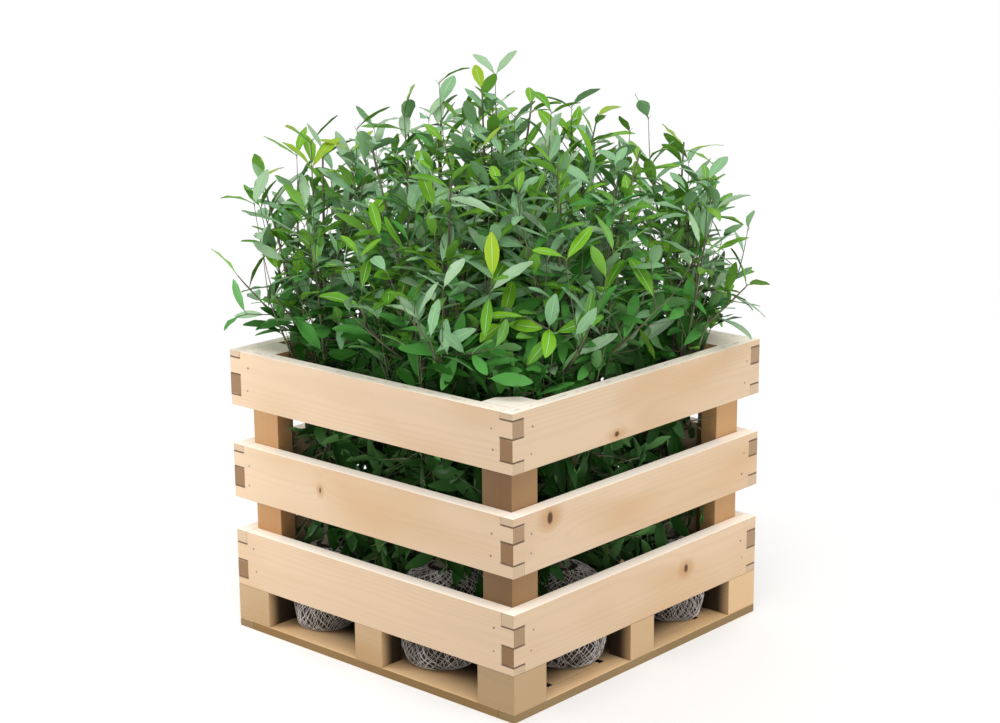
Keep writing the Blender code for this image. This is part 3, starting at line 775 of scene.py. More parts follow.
def ball_surface(number, angle, part):
    """Point of a root ball at an angle and a part of the way from its foot to its crown.

    Radius and height follow two quarter ellipses that meet at the widest height, the lower one
    filled out as a sack that rests on its foot. The surface swells and sinks there by two sets of
    ripples that fade out at the flat foot.
    """
    x, y, wide, foot, top = root_ball(number)
    below = part < 0.5
    quarter = np.where(below, part, part - 0.5) * math.pi
    radius = np.where(below, BALL_FOOT + (wide - BALL_FOOT) * np.sin(quarter) ** BALL_SAG,
                      BALL_CROWN + (wide - BALL_CROWN) * np.cos(quarter))
    height = np.where(below, foot + (BALL_WIDEST - foot) * (1 - np.cos(quarter)),
                      BALL_WIDEST + (top - BALL_WIDEST) * np.sin(quarter))
    points = np.stack((x + radius * np.cos(angle), y + radius * np.sin(angle), height), axis=-1)
    rng = np.random.default_rng(100 + number)
    swell = sum(size * ripples(points, wavelength, rng) for wavelength, size in BALL_FOLDS) - BALL_SHRINK
    # the outer balls have slumped away from the middle where the base leaves them room
    away = np.array((x, y, 0.0)) / max(math.hypot(x, y), 0.2)
    loose = np.clip((SLUMP_TOP - height) / SLUMP_FADE, 0, 1)
    points = points + away * (BALL_SLUMP * loose ** 2 * (3 - 2 * loose))[..., None]
    outwards = unit(points - np.array((x, y, BALL_WIDEST)))
    outwards[..., 2] *= np.clip((height - foot) / FOOT_FADE, 0, 1)
    fade = np.clip((height - foot) / FOLDS_FADE, 0, 1) * \
        np.clip((radius - BALL_CROWN * 0.9) / FOLDS_FADE, 0, 1)
    return points + outwards * (np.clip(swell, *BALL_LIMITS) * fade)[..., None], outwards


def root_balls(settings):
    """Seven lumpy balls of peat, near black with brown crumbs."""
    finish, crumbs = blotched("damp_peat", settings.peat_colour, (0.055, 0.032, 0.020), 0.92,
                              (160.0, 4.0, 0.7), (0.45, 0.75))
    finish.bump(crumbs, 0.003)
    part, angle = ring_grid(BALL_RINGS, BALL_SIDES)
    for number in PLANTS:
        points, _outwards = ball_surface(number, angle, part)
        mesh = turned_mesh(f"peat_ball_{number}", points, points[0].mean(axis=0), points[-1].mean(axis=0))
        piece_from(mesh, finish, [f"root_ball_{number}"])


# Turn of a thread on its way up, its wobble, and the parts of the ball that it starts and ends at
NET_TWIST = 2.6
NET_WOBBLE = 0.042
NET_ENDS = (0.03, 0.985)
NET_STEPS = 44


def nets(settings):
    """The net round each ball: threads that climb it both ways round and wobble as they go.

    Angle = start + twist x part of the way + ripple, and each thread lies on the ball's surface.
    """
    finish, _dirt = blotched("net_thread", settings.net_colour, (0.16, 0.14, 0.13), 0.7,
                             (14.0, 3.0, 0.6), (0.45, 0.78))
    count = settings.net_threads
    part = np.broadcast_to(np.linspace(*NET_ENDS, NET_STEPS), (2 * count, NET_STEPS))
    for number in PLANTS:
        rng = np.random.default_rng(200 + number)
        starts = angles(count) + rng.uniform(-0.25, 0.25, count) * math.tau / count
        twist = np.repeat((NET_TWIST, -NET_TWIST), count) * rng.uniform(0.92, 1.08, 2 * count)
        phase = rng.uniform(0, math.tau, (2 * count, 1))
        wobble = np.sin(part * 23 + phase) + 0.7 * np.sin(part * 41 + 2 * phase)
        angle = np.tile(starts, 2)[:, None] + twist[:, None] * part + NET_WOBBLE * wobble
        surface, outwards = ball_surface(number, angle, part)
        lift = settings.thread_radius * (0.55 + 0.25 * np.sin(part * 60 + phase * 3))
        radii = np.full(part.shape, settings.thread_radius) * rng.uniform(0.8, 1.2, (2 * count, 1))
        mesh = mesh_from(f"ball_net_{number}", *tubes(surface + outwards * lift[..., None], radii, 3))
        piece_from(mesh, finish)


# Trunks and the growth rule

# Part of the way up a trunk, and its radius there in the solids; the bark lies just inside them
TRUNK_SHAPE = ((0.0, 0.027), (0.12, 0.020), (0.40, 0.0165), (0.75, 0.0150), (1.0, 0.0145))
TRUNK_INSIDE = 0.97
TRUNK_SIDES = 36
TRUNK_RINGS = 44


@functools.cache
def fork_point(number):
    """The top of a trunk: above its ball, drawn a little towards the leaders it carries."""
    foot = Vector(root_ball(number)[:2])
    first, second = LEADER_TIPS[number - 1]
    mean = Vector(((first[0] + second[0]) / 2, (first[1] + second[1]) / 2))
    lean = (mean - foot) * TRUNK_LEAN
    return Vector((foot.x + lean.x, foot.y + lean.y, FORK_Z))


def trunks(settings):
    """Short trunks from the ball to the fork, with root lobes and bark ridges.

    Radius = profile x (1 + lobes that die away upwards) + two sets of ridges round the stem.
    """
    finish = bark("trunk_bark", settings.bark_colour, settings.bark_pale)
    part, angle = ring_grid(TRUNK_RINGS, TRUNK_SIDES)
    smooth = np.interp(part, *zip(*TRUNK_SHAPE)) * TRUNK_INSIDE
    across = np.stack((np.cos(angle), np.sin(angle), np.zeros_like(angle)), axis=-1)
    for number in PLANTS:
        rng = np.random.default_rng(300 + number)
        x, y, _radius, _foot, top = root_ball(number)
        foot, fork = np.array((x, y, top + CLEAR)), np.array(fork_point(number))
        lobes = 0.10 * np.exp(-part / 0.16) * np.sin(5 * angle + rng.uniform(0, 6))
        ridges = 0.0005 * np.sin(11 * angle + 9 * part + rng.uniform(0, 6)) * np.sin(4 * angle - 15 * part)
        rings = 0.0004 * np.sin(part * 70 + 2 * np.sin(angle + rng.uniform(0, 6)))
        radius = smooth * (1 + lobes) + ridges + rings * (part > 0.03)
        points = foot + (fork - foot) * part[..., None] + radius[..., None] * across
        mesh = turned_mesh(f"bark_trunk_{number}", points, foot, fork)
        piece_from(mesh, finish, [f"trunk_{number}"])


def widening(z):
    """How far the crown's plan has spread at a height, against the plan at the forks."""
    return 1 + SPREAD * (z - FORK_Z)


def plan_radius(x, y):
    """Distance from the middle on a rounded square plan."""
    return (abs(x) ** PLAN_POWER + abs(y) ** PLAN_POWER) ** (1 / PLAN_POWER)


def crown_height(x, y):
    """Height of the dome that the shoots end under."""
    return CROWN_TOP - CROWN_FALL * plan_radius(x, y) ** 2


def leaders():
    """One entry for each mass: its plant, fork, foot, tip and seed point on the plan."""
    made = []
    for number in PLANTS:
        fork = fork_point(number)
        tips = [Vector(tip) for tip in LEADER_TIPS[number - 1]]
        between = (tips[1] - tips[0]).xy.normalized()
        for sign, tip in zip((-1, 1), tips):
            foot = Vector((fork.x + sign * LEADER_OFFSET * between.x,
                           fork.y + sign * LEADER_OFFSET * between.y, FORK_Z + CLEAR))
            made.append({"plant": number, "fork": fork, "foot": foot, "tip": tip,
                         "seed": tip.xy / widening(tip.z)})
    return made


def space_planes(all_leaders, mine):
    """Half spaces of one mass: x and y against normal, less the widening times offset, is below 0."""
    planes = []
    for other in all_leaders:
        if other is mine:
            continue
        normal = (other["seed"] - mine["seed"]).normalized()
        if other["plant"] == mine["plant"]:
            offset = mine["fork"].xy.dot(normal) / widening(FORK_Z)
        else:
            offset = ((other["seed"] + mine["seed"]) / 2).dot(normal)
        planes.append((normal.x, normal.y, offset))
    return np.array(planes)


def in_space(points, planes, margin):
    """True for each twig whose points all lie inside the mass's own space by the margin."""
    side = points[..., :2] @ planes[:, :2].T - widening(points[..., 2:]) * planes[:, 2]
    return (side < -margin).all(axis=(-1, -2))


@functools.cache
def crate_boxes():
    """Low and high corners of the boards and posts that twigs and leaves have to clear."""
    boxes = [((-HALF, -HALF, 0), (HALF, HALF, BLOCK_TOP))]
    for tier, sign in itertools.product(TIERS, (-1, 1)):
        low, high = (corner.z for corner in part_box(f"slat_{tier}_front"))
        near, far = sorted((sign * HALF, sign * INNER))
        boxes.append(((near, -HALF, low), (far, HALF, high)))
        boxes.append(((-HALF, near, low), (HALF, far, high)))
    spans = [sorted((sign * INNER, sign * (INNER - POST_LEG))) for sign in (-1, 1)]
    for (x_low, x_high), (y_low, y_high) in itertools.product(spans, spans):
        boxes.append(((x_low, y_low, BLOCK_TOP), (x_high, y_high, RIM)))
    return np.array(boxes)


def clear_of_limbs(points, margin):
    """True for each twig or leaf of which no point touches the crate, a root ball or a trunk."""
    free = np.ones(points.shape[:-2], dtype=bool)
    for low, high in crate_boxes():
        inside = ((points > low - margin) & (points < high + margin)).all(axis=-1)
        free &= ~inside.any(axis=-1)
    px, py, pz = points[..., 0], points[..., 1], points[..., 2]
    for number in PLANTS:
        x, y, radius, _foot, top = root_ball(number)
        fork = fork_point(number)
        free &= ~((np.hypot(px - x, py - y) < radius + margin) & (pz < top + margin)).any(axis=-1)
        part = np.clip((pz - top) / (FORK_Z - top), 0, 1)
        away = np.hypot(px - x - part * (fork.x - x), py - y - part * (fork.y - y))
        free &= ~((away < TRUNK_SHAPE[1][1] + margin) & (pz < FORK_Z + margin)).any(axis=-1)
    return free


def curve(foot, tip, ease, parts):
    """Points up a limb: height grows evenly, and the lean follows a power of the way up."""
    foot, tip = np.array(foot), np.array(tip)
    flat = np.stack((parts ** ease, parts ** ease, parts), axis=-1)
    return foot + (tip - foot) * flat


def fitted_tip(target, planes, foot):
    """A shoot's tip, drawn back towards its foot until it is in its space and under the dome."""
    tip = target.copy()
    for _ in range(TIP_TRIES):
        under_dome = plan_radius(tip.x, tip.y) < CROWN_REACH and tip.z < crown_height(tip.x, tip.y)
        if under_dome and in_space(np.array([tuple(tip)]), planes, TIP_MARGIN):
            return tip
        pulled = tip.xy.lerp(foot.xy, TIP_PULL)
        tip = Vector((pulled.x, pulled.y, min(tip.z, crown_height(pulled.x, pulled.y) - CLEAR)))
    return tip


# Points along each kind of path, and its radius at the foot and at the tip
LEADER_POINTS = 26
SHOOT_POINTS = 12
TWIG_POINTS = 7
BUDS = 3
BUD_POINTS = 3
LEADER_RADII = (0.0078, 0.0022)
SHOOT_RADII = (0.0042, 0.0016)
TWIG_RADII = (0.0021, 0.0010)
BUD_RADII = (0.0008, 0.0005)
# Parts of its full length at which a twig is tried
TWIG_FACTORS = (1.0, 0.72, 0.48)
# The finer twigs end under a dome of their own, over this depth
TWIG_TOP = 1.470
TWIG_SLOPE = 0.30
TWIG_FALL = 0.30
TWIG_UNEVEN = 0.190
# The dome is a little lower over the corner at +X, -Y
CORNER_FROM = 0.72
CORNER_SLOPE = 0.45
# How far from the middle they reach at four heights, and how they flare out over the rim
TWIG_REACH = (0.700, 0.585, 0.585, 0.655)
REACH_HEIGHTS = (RIM + 0.08, RIM + 0.16, RIM + 0.24, RIM + 0.36)
FLARE_FROM = RIM + 0.05
FLARE_SLOPE = 0.55
FLARE_WIDEST = 0.600
# The long low twigs gather towards the foot by this power, and carry a fork at two of their points
SKIRT_GATHERS = 1.35
SKIRT_LIFT = 0.10
FORK_POINTS = (3, 5)
FORK_SPREAD = (0.7, 1.6)
FORK_RISE = (-0.5, 0.5)
FORK_LENGTH = (0.08, 0.17)
# Chance in the rise of twigs in degrees, and in their length
SKIRT_RISE_CHANCE = 12
TWIG_RISE_CHANCE = 14
SKIRT_LENGTHS = (0.6, 1.15)
TWIG_LENGTHS = (0.7, 1.2)
TIP_LENGTHS = (0.7, 1.3)
# How much a twig leans along its limb, and a tip twig upwards
LIMB_LEAN = 0.45
TIP_LEAN = 0.8
# Steps in which a limb's length is measured, and the part of it on each side that gives its direction
LIMB_STEPS = 40
LOOK_AHEAD = 0.02
# How much shorter twigs are towards the tip, and how far a tip twig may pass the dome
TWIG_SHORTENS = 0.25
TIP_OVER = (0.02, 0.07)
# Buds: which twigs have them, along which stretch of the tip they sit, and their lengths
BUD_DEPTH = 0.06
BUD_STRETCH = 0.012
BUD_LENGTHS = (0.008, 0.018)
# Twigs that fill holes: step of the grid of places, depths under the dome, distance from any other
# twig at which a place counts as empty, and the longest such twig
FILL_GRID = 0.070
FILL_DEPTHS = (0.10, 0.21, 0.33)
FILL_AWAY = 0.105
FILL_LONGEST = 0.36
# How uneven those places are along the plan and in depth, how far over the flare the lowest is, and
# how far below its aim such a twig starts
FILL_PLAN_CHANCE = 0.025
FILL_DEPTH_CHANCE = 0.05
FILL_OVER_FLARE = 0.06
FILL_RISE = 0.08
FILL_EASES = (0.85, 0.85, 1.3)


def limbs(mass, number, planes):
    """The leader and side shoots of one mass, by the same draws as the solids: (foot, tip, ease)."""
    rng = random.Random(SEED + number)
    foot, tip = mass["foot"], mass["tip"]
    made = [(foot, tip, LEADER_EASE)]
    outwards = math.atan2(tip.y, tip.x)
    for root_part, tip_part, reach, turn in SHOOTS:
        angle = outwards + math.radians(turn + rng.uniform(-1, 1) * SHOOT_TURN_VARIES)
        length = reach * (1 + rng.uniform(-1, 1) * SHOOT_REACH_VARIES)
        rise = rng.uniform(-1, 1) * SHOOT_RISE_VARIES
        for lift, shrink in SHOOT_TRIES:
            start = Vector(curve(foot, tip, LEADER_EASE, np.array(root_part + lift)))
            aim = Vector(curve(foot, tip, LEADER_EASE, np.array(min(tip_part + lift, HIGHEST_AIM))))
            target = aim + Vector((length * shrink * math.cos(angle),
                                   length * shrink * math.sin(angle), rise))
            end = fitted_tip(target, planes, start)
            samples = curve(start, end, SHOOT_EASE, np.linspace(0, 1, SHOOT_SAMPLES))
            if in_space(samples, planes, SPACE_MARGIN) and clear_of_limbs(samples, LIMB_MARGIN):
                made.append((start, end, SHOOT_EASE))
                break
    return made


def twig_height(x, y):
    """Height of the dome that the finer twigs end under: it falls with the radius and the radius cubed."""
    radius = np.hypot(x, y)
    corner = CORNER_SLOPE * np.maximum(x - y - CORNER_FROM, 0)
    return TWIG_TOP - TWIG_SLOPE * radius - TWIG_FALL * radius ** 3 - corner


def twig_reach(z):
    """How far from the middle finer twigs reach: into the corners at the rim, less above it, then more."""
    return np.interp(z, REACH_HEIGHTS, TWIG_REACH)


def flare(z):
    """How far along x and y the twigs reach at a height: inside the slats, then wider with the height."""
    return np.clip(INNER + (z - FLARE_FROM) * FLARE_SLOPE, INNER, FLARE_WIDEST)


def run_along(paths):
    """Distance along each path from its foot to each of its points."""
    steps = np.linalg.norm(np.diff(paths, axis=-2), axis=-1)
    return np.cumsum(np.insert(steps, 0, 0, axis=-1), axis=-1)


def aimed(turn, rise):
    """Unit vectors at a turn round the upright axis and a rise from the level."""
    return np.stack((np.cos(turn) * np.cos(rise), np.sin(turn) * np.cos(rise), np.sin(rise)), axis=-1)


def square_to(axis, turn):
    """Unit vectors square to an axis, at a turn round it."""
    flat = unit(np.cross(axis, np.array((0.3, 0.2, 1.0))))
    return flat * np.cos(turn)[..., None] + np.cross(axis, flat) * np.sin(turn)[..., None]


def kept_twigs(roots, heading, length, lift, planes, over):
    """Twigs that fit, each tried at three lengths and left out if none of them does.

    Twig = root + heading x length x part + a lift that grows with the part squared. It has to
    stay in its mass's space, within its own distance over the dome, and clear of crate and balls.
    """
    way = np.linspace(0, 1, TWIG_POINTS)[None, :, None]
    kept = []
    waiting = np.ones(len(roots), dtype=bool)
    for factor in TWIG_FACTORS:
        reach = (length * factor)[:, None, None]
        rise = UP * lift[:, None, None] * reach * way ** 2
        twigs = roots[:, None] + heading[:, None] * reach * way + rise
        x, y, z = twigs[:, -1].T
        fits = waiting & in_space(twigs[:, 2:], planes, SPACE_MARGIN) & clear_of_limbs(twigs, LIMB_MARGIN)
        fits &= (np.abs(twigs[..., :2]) < flare(twigs[..., 2:])).all(axis=(1, 2))
        fits &= z < twig_height(x, y) + over
        fits &= np.hypot(x, y) < twig_reach(z) + np.maximum(over, 0)
        kept.append(twigs[fits])
        waiting &= ~fits
    return np.concatenate(kept)


def forked(paths, planes, rng):
    """Two side twigs on each long twig, each to the left or the right of it by chance."""
    foot = np.concatenate([paths[:, at] for at in FORK_POINTS])
    ahead = unit(np.concatenate([paths[:, at + 1] - paths[:, at] for at in FORK_POINTS]))
    count = len(foot)
    side = np.repeat((-1.0, 1.0), len(paths))[:, None] * rng.choice((-1.0, 1.0), (count, 1))
    heading = unit(ahead + side * unit(np.cross(ahead, UP)) * rng.uniform(*FORK_SPREAD, (count, 1)) +
                   UP * rng.uniform(*FORK_RISE, (count, 1)))
    length = rng.uniform(*FORK_LENGTH, count)
    return kept_twigs(foot, heading, length, np.zeros(count), planes, np.zeros(count))


def skirt_on(foot, tip, planes, settings, rng):
    """Long low twigs round the lower part of a leader, which fill the crate and hide its inside."""
    top = (settings.skirt_top - foot.z) / (tip.z - foot.z)
    count = int((settings.skirt_top - foot.z) / settings.skirt_spacing)
    part = top * ((np.arange(count) + 0.5) / count) ** SKIRT_GATHERS
    roots = curve(foot, tip, LEADER_EASE, part)
    turn = rng.uniform(0, math.tau) + GOLDEN_TURN * np.arange(count)
    rise = np.radians(settings.skirt_droop + (settings.skirt_rise - settings.skirt_droop) * part / top +
                      rng.uniform(-SKIRT_RISE_CHANCE, SKIRT_RISE_CHANCE, count))
    length = settings.skirt_length * rng.uniform(*SKIRT_LENGTHS, count)
    long_ones = kept_twigs(roots, aimed(turn, rise), length, np.full(count, SKIRT_LIFT), planes,
                           np.zeros(count))
    return np.concatenate((long_ones, forked(long_ones, planes, rng)))


def twigs_on(foot, tip, ease, planes, settings, rng):
    """Finer twigs round a limb at the golden turn, and one that carries its tip on."""
    parts = np.linspace(0, 1, LIMB_STEPS)
    run = run_along(curve(foot, tip, ease, parts))
    bare = settings.bare_foot
    count = max(2, int((run[-1] - bare) / settings.twig_spacing))
    at = bare + (run[-1] - bare) * (np.arange(count) + rng.uniform(0.3, 0.9)) / count
    part = np.interp(np.append(np.minimum(at, run[-1]), run[-1]), run, parts)
    roots = curve(foot, tip, ease, part)
    ahead = unit(curve(foot, tip, ease, np.minimum(part + LOOK_AHEAD, 1.0)) -
                 curve(foot, tip, ease, part - LOOK_AHEAD))
    turn = rng.uniform(0, math.tau) + GOLDEN_TURN * np.arange(count + 1)
    rise = np.radians(settings.twig_rise + (settings.twig_rise_tip - settings.twig_rise) * part +
                      rng.uniform(-TWIG_RISE_CHANCE, TWIG_RISE_CHANCE, count + 1))
    heading = unit(aimed(turn, rise) + ahead * LIMB_LEAN)
    heading[-1] = unit(ahead[-1] + UP * TIP_LEAN)
    # twigs near the tip are shorter, and end at uneven depths under the dome
    length = settings.twig_length * rng.uniform(*TWIG_LENGTHS, count + 1) * (1.05 - TWIG_SHORTENS * part)
    length[-1] = settings.tip_length * rng.uniform(*TIP_LENGTHS)
    over = -TWIG_UNEVEN * rng.uniform(0, 1, count + 1) ** 0.6
    over[-1] = max(rng.uniform(*TIP_OVER), tip.z - twig_height(tip.x, tip.y) + TIP_OVER[1])
    return kept_twigs(roots, heading, length, np.full(count + 1, settings.twig_lift), planes, over)


def fill_on(limb_paths, near_twigs, planes, rng):
    """Twigs from the nearest limb to the places in a mass's space that no twig has come near.

    The places lie on an uneven grid at three depths under the dome. A twig's height grows with
    the part to the power 1.3, and its way along the plan with the part to the power 0.85.
    """
    across = np.arange(-FLARE_WIDEST, FLARE_WIDEST, FILL_GRID)
    x, y, depth = (side.ravel() for side in np.meshgrid(across, across, FILL_DEPTHS))
    x = x + rng.uniform(-FILL_PLAN_CHANCE, FILL_PLAN_CHANCE, len(x))
    y = y + rng.uniform(-FILL_PLAN_CHANCE, FILL_PLAN_CHANCE, len(y))
    z = twig_height(x, y) - depth - rng.uniform(0, FILL_DEPTH_CHANCE, len(x))
    aim = np.stack((x, y, z), axis=-1)
    away = np.linalg.norm(aim[:, None] - near_twigs.reshape(-1, 3), axis=-1).min(axis=1)
    wanted = (away > FILL_AWAY) & (z > FLARE_FROM + FILL_OVER_FLARE)
    wanted &= in_space(aim[:, None], planes, TIP_MARGIN)
    wanted &= (np.hypot(x, y) < twig_reach(z)) & (np.abs(aim[:, :2]) < flare(z)[:, None]).all(axis=1)
    aim = aim[wanted]
    # the upper two thirds of each limb can carry such a twig, and nearness counts less in height
    limb = np.concatenate([path[len(path) // 3:] for path in limb_paths])
    gap = np.linalg.norm((aim[:, None] - limb) * (1.0, 1.0, 0.6), axis=-1)
    root = limb[np.where(limb[:, 2] < aim[:, None, 2] - FILL_RISE, gap, 9.0).argmin(axis=1)]
    way = np.linspace(0, 1, TWIG_POINTS)[:, None]
    twigs = root[:, None] + (aim - root)[:, None] * way ** FILL_EASES
    fits = in_space(twigs[:, 2:], planes, SPACE_MARGIN) & clear_of_limbs(twigs, LIMB_MARGIN)
    return twigs[fits & (np.linalg.norm(aim - root, axis=1) < FILL_LONGEST)]


@functools.cache
def crown():
    """Every leader, shoot and twig: arrays of paths, worked out once for stems and leaves."""
    settings = bpy.context.scene.laurel_stems
    everyone = leaders()
    rng = np.random.default_rng(SEED)
    leader_paths, shoot_paths, twig_paths = [], [], []
    for number, mass in enumerate(everyone):
        planes = space_planes(everyone, mass)
        limb_paths, near_twigs = [], []
        for index, (foot, tip, ease) in enumerate(limbs(mass, number, planes)):
            points = LEADER_POINTS if index == 0 else SHOOT_POINTS
            limb_paths.append(curve(foot, tip, ease, np.linspace(0, 1, points)))
            near_twigs.append(twigs_on(foot, tip, ease, planes, settings, rng))
            if index == 0:
                near_twigs.append(skirt_on(foot, tip, planes, settings, rng))
        near_twigs.append(fill_on(limb_paths, np.concatenate(near_twigs), planes,
                                  np.random.default_rng(SEED + number)))
        leader_paths.append(limb_paths[0])
        shoot_paths.extend(limb_paths[1:])
        twig_paths.extend(near_twigs)
    return np.array(leader_paths), np.array(shoot_paths), np.concatenate(twig_paths)


def tapered(paths, radii, rng):
    """Radii along each path from the first value to the second, with the slight swelling of buds."""
    part = np.linspace(0, 1, paths.shape[1])
    even = radii[0] + (radii[1] - radii[0]) * part
    return even * (1 + 0.10 * np.sin(part * 40 + rng.uniform(0, 6, (len(paths), 1))))


def bud_twigs(paths, rng):
    """Three bare side buds near the end of every twig that reaches the open air at the top."""
    x, y, z = paths[:, -1].T
    high = paths[z > twig_height(x, y) - BUD_DEPTH]
    ahead = unit(high[:, -1] - high[:, -2])[:, None]
    around = square_to(ahead, rng.uniform(0, math.tau, (len(high), 1)) + np.arange(BUDS) * GOLDEN_TURN)
    foot = high[:, None, -1] - ahead * np.linspace(0, BUD_STRETCH, BUDS)[:, None]
    length = rng.uniform(*BUD_LENGTHS, (len(high), BUDS, 1, 1))
    heading = unit(ahead + around * 0.8)[:, :, None]
    buds = foot[:, :, None] + heading * length * np.linspace(0, 1, BUD_POINTS)[:, None]
    return buds.reshape(-1, BUD_POINTS, 3)


def stems(settings):
    """Leaders, shoots and twigs as one mesh of tapering tubes, in place of the fourteen masses."""
    rng = np.random.default_rng(61)
    leader_paths, shoot_paths, twig_paths = crown()
    kinds = ((leader_paths, LEADER_RADII, 8), (shoot_paths, SHOOT_RADII, 6), (twig_paths, TWIG_RADII, 4),
             (bud_twigs(twig_paths, rng), BUD_RADII, 3))
    parts = [tubes(paths, tapered(paths, radii, rng), sides) for paths, radii, sides in kinds]
    finish = bark("twig_bark", settings.twig_colour, settings.twig_pale)
    piece_from(mesh_from("laurel_stems", *joined(parts)), finish, nodes_named("foliage"))


# Leaves

# Kinds of leaf: painted shade inside, greens from deep to fresh, grey-green with painted sheen, the youngest
# tips, and painted shade below
LEAF_KINDS = ("shade", "deep", "blue", "mid", "grass", "fresh", "sheen", "young", "gloom")
LEAF_GLEAM = (0.06, 0.12, 0.34, 0.28, 0.16, 0.16, 0.36, 0.16, 0.06)
# Roughness of undersides and midribs, and their gleam
DULL = 0.6
RIB_DULL = 0.55
DULL_GLEAM = 0.2
SHADE, BLUE, MID, SHEEN, YOUNG, GLOOM = 0, 2, 3, 6, 7, 8
# Tones at which the next lighter kind begins, for bluish leaves and for grass green ones
COOL_STEPS = (0.5, 1.5)
WARM_STEPS = (0.5, 1.5, 2.2, 3.1)
WARM_KINDS = np.array((0, 1, 3, 4, 5))
# A leaf's tone in the shade, what a place further out or up adds to it as painted light, and what its spray
# and chance add
TONE_INSIDE = 1.30
TONE_OUTER = 1.6
TONE_UPPER = 1.3
TONE_SPRAY = 0.5
TONE_CHANCE = 0.55
# Depth in the crown over which leaves darken as painted shade, counted from a little over the twigs' ends
OUTER_DEPTH = 0.13
OUTER_SPARE = 0.03
SIDE_DEPTH = 1.3
BELOW_RIM = 0.35
GLOOM_TOP = RIM - 0.06
# Leaves near the rim and below it are darker by these steps, as painted shade
RIM_HEIGHTS = (RIM - 0.08, RIM - 0.04, RIM + 0.06, RIM + 0.18)
RIM_DARKER = (2.3, 1.1, 1.0, 0.0)
# Above which sum of spray, height and chance a leaf is grass green and not bluish
WARM_UPPER = 0.75
WARM_CHANCE = 0.35
WARM_FROM = 0.62
# Share of the bluish leaves that are grey-green with painted sheen, and how much it grows further out
SHEEN_SHARE = 0.14
SHEEN_OUTER = 0.40
# How far out and up, and of what spray, the leaves at a tip are young ones
YOUNG_OUTER = 0.70
YOUNG_UPPER = 0.42
YOUNG_SPRAY = 0.25
# Stations along a leaf and columns across its upper side, its underside and its midrib
BLADE_STATIONS = np.array((0.0, 0.08, 0.22, 0.42, 0.62, 0.80, 0.94, 1.0))
TOP_COLUMNS = np.array((-1.0, -0.5, 0.0, 0.5, 1.0))
UNDER_COLUMNS = np.array((-1.0, 0.0, 1.0))
RIB_COLUMNS = np.array((-0.045, 0.045))
RIB_STATIONS = 7
PETIOLE = 0.08
MIDRIB_DIP = 0.0006
UNDER_DROP = 0.0012
RIB_DROP = -0.0001
# Ranges of a leaf's own shape: bend and fold in degrees, roll and wave as parts of its width, the
# spread of its twist in degrees, its width as a part of its length, and that as a part of the full one
BENDS = (6, 50)
FOLDS = (5, 27)
ROLLS = (0.08, 0.32)
WAVES = (0.02, 0.16)
TWIST = 16
WIDTHS = (0.235, 0.30)
LENGTHS = (0.72, 1.12)
# The two leaves at a twig's tip are shorter and broader, and close round it
LAST_SHORTER = 0.80
LAST_BROADER = 1.22
LAST_OPENINGS = (22, 64)
# How far leaves open from their twig in degrees: at its foot, less towards its tip, and chance
OPENING = 78
OPENING_CLOSES = 24
OPENING_CHANCE = 16
# How much the upper side looks upwards, and how much chance there is in it
FACE_UP = 0.75
FACE_CHANCE = 0.28
# Parts of twigs, shoots and leaders below their first leaf
BARE_PARTS = (0.16, 0.30, 0.45)
# How much leaves hang or rise at three heights
HANG_HEIGHTS = (FORK_Z, 0.50, RIM)
HANGS = (-0.55, -0.20, 0.10)
# How far leaf tips may pass the twigs' dome and reach
LEAF_OVER_DOME = 0.080
LEAF_OVER_REACH = 0.065
# A leaf on a shoot that stands out may pass its own root by this much
OWN_SPARE = 0.065
# Near the top some of the leaves are missing, so that sky and bare stems show
AIRY_DEPTH = 0.28
AIRY_RIM = 0.15
AIRY_LOSS = 0.45
AIRY_FROM = RIM + 0.12
LEAF_MARGIN = 0.002
# How far leaves may pass the slats' inside, how far a share of them stands out between the slats on the
# two far sides, and how far leaves may hang over the rim
SLATS_TOP = RIM + 0.02
SLAT_SPARE = 0.015
STAND_OUT = 0.055
STAND_OUT_SHARE = 0.35
RIM_SPARE = 0.025
FAR_SIDE = 0.30


def half_width(station):
    """Half width along a leaf as a part of its greatest: petiole, wedge foot, short pointed tip.

    A sine of the part along the blade to the power 1.05, itself to the power 0.64, and narrowed
    evenly over the first half.
    """
    blade = np.clip((station - PETIOLE) / (1 - PETIOLE), 0, 1)
    rounded = np.sin(math.pi * np.clip(blade, 0, 0.992) ** 1.05) ** 0.64
    return np.maximum(rounded * (0.8 + 0.2 * np.minimum(1, blade / 0.5)), 0.05)


def blade_points(leaf, stations, columns, drop):
    """Points of every leaf on a grid of stations along it and columns across it.

    The midline is an arc that bends back from the leaf's upper side. Across it the blade folds up
    into a shallow V whose edges roll down again and wave, and the whole turns about the midline.
    """
    along, across = stations[None, :, None], columns[None, None, :]
    leaf = {key: value[:, None, None] for key, value in leaf.items()}
    turn = leaf["bend"] * along
    forward = leaf["length"] * np.sin(turn) / leaf["bend"]
    down = leaf["length"] * (1 - np.cos(turn)) / leaf["bend"]
    heading, up = leaf["heading"], leaf["up"]
    side = np.cross(up, heading)
    normal = heading * np.sin(turn)[..., None] + up * np.cos(turn)[..., None]
    twist = (leaf["twist"] * along)[..., None]
    level = side * np.cos(twist) + normal * np.sin(twist)
    raised = normal * np.cos(twist) - side * np.sin(twist)
    half = leaf["width"] / 2 * half_width(along)
    reach = np.abs(across)
    wave = leaf["wave"] * np.sin(along * 15 + leaf["phase"] + np.sign(across) * 2)
    height = half * (reach * leaf["fold"] - reach ** 2 * leaf["roll"] + reach ** 2 * wave)
    height -= drop * (1 - reach)
    points = leaf["root"] + heading * forward[..., None] - up * down[..., None]
    return points + level * (across * half)[..., None] + raised * height[..., None]


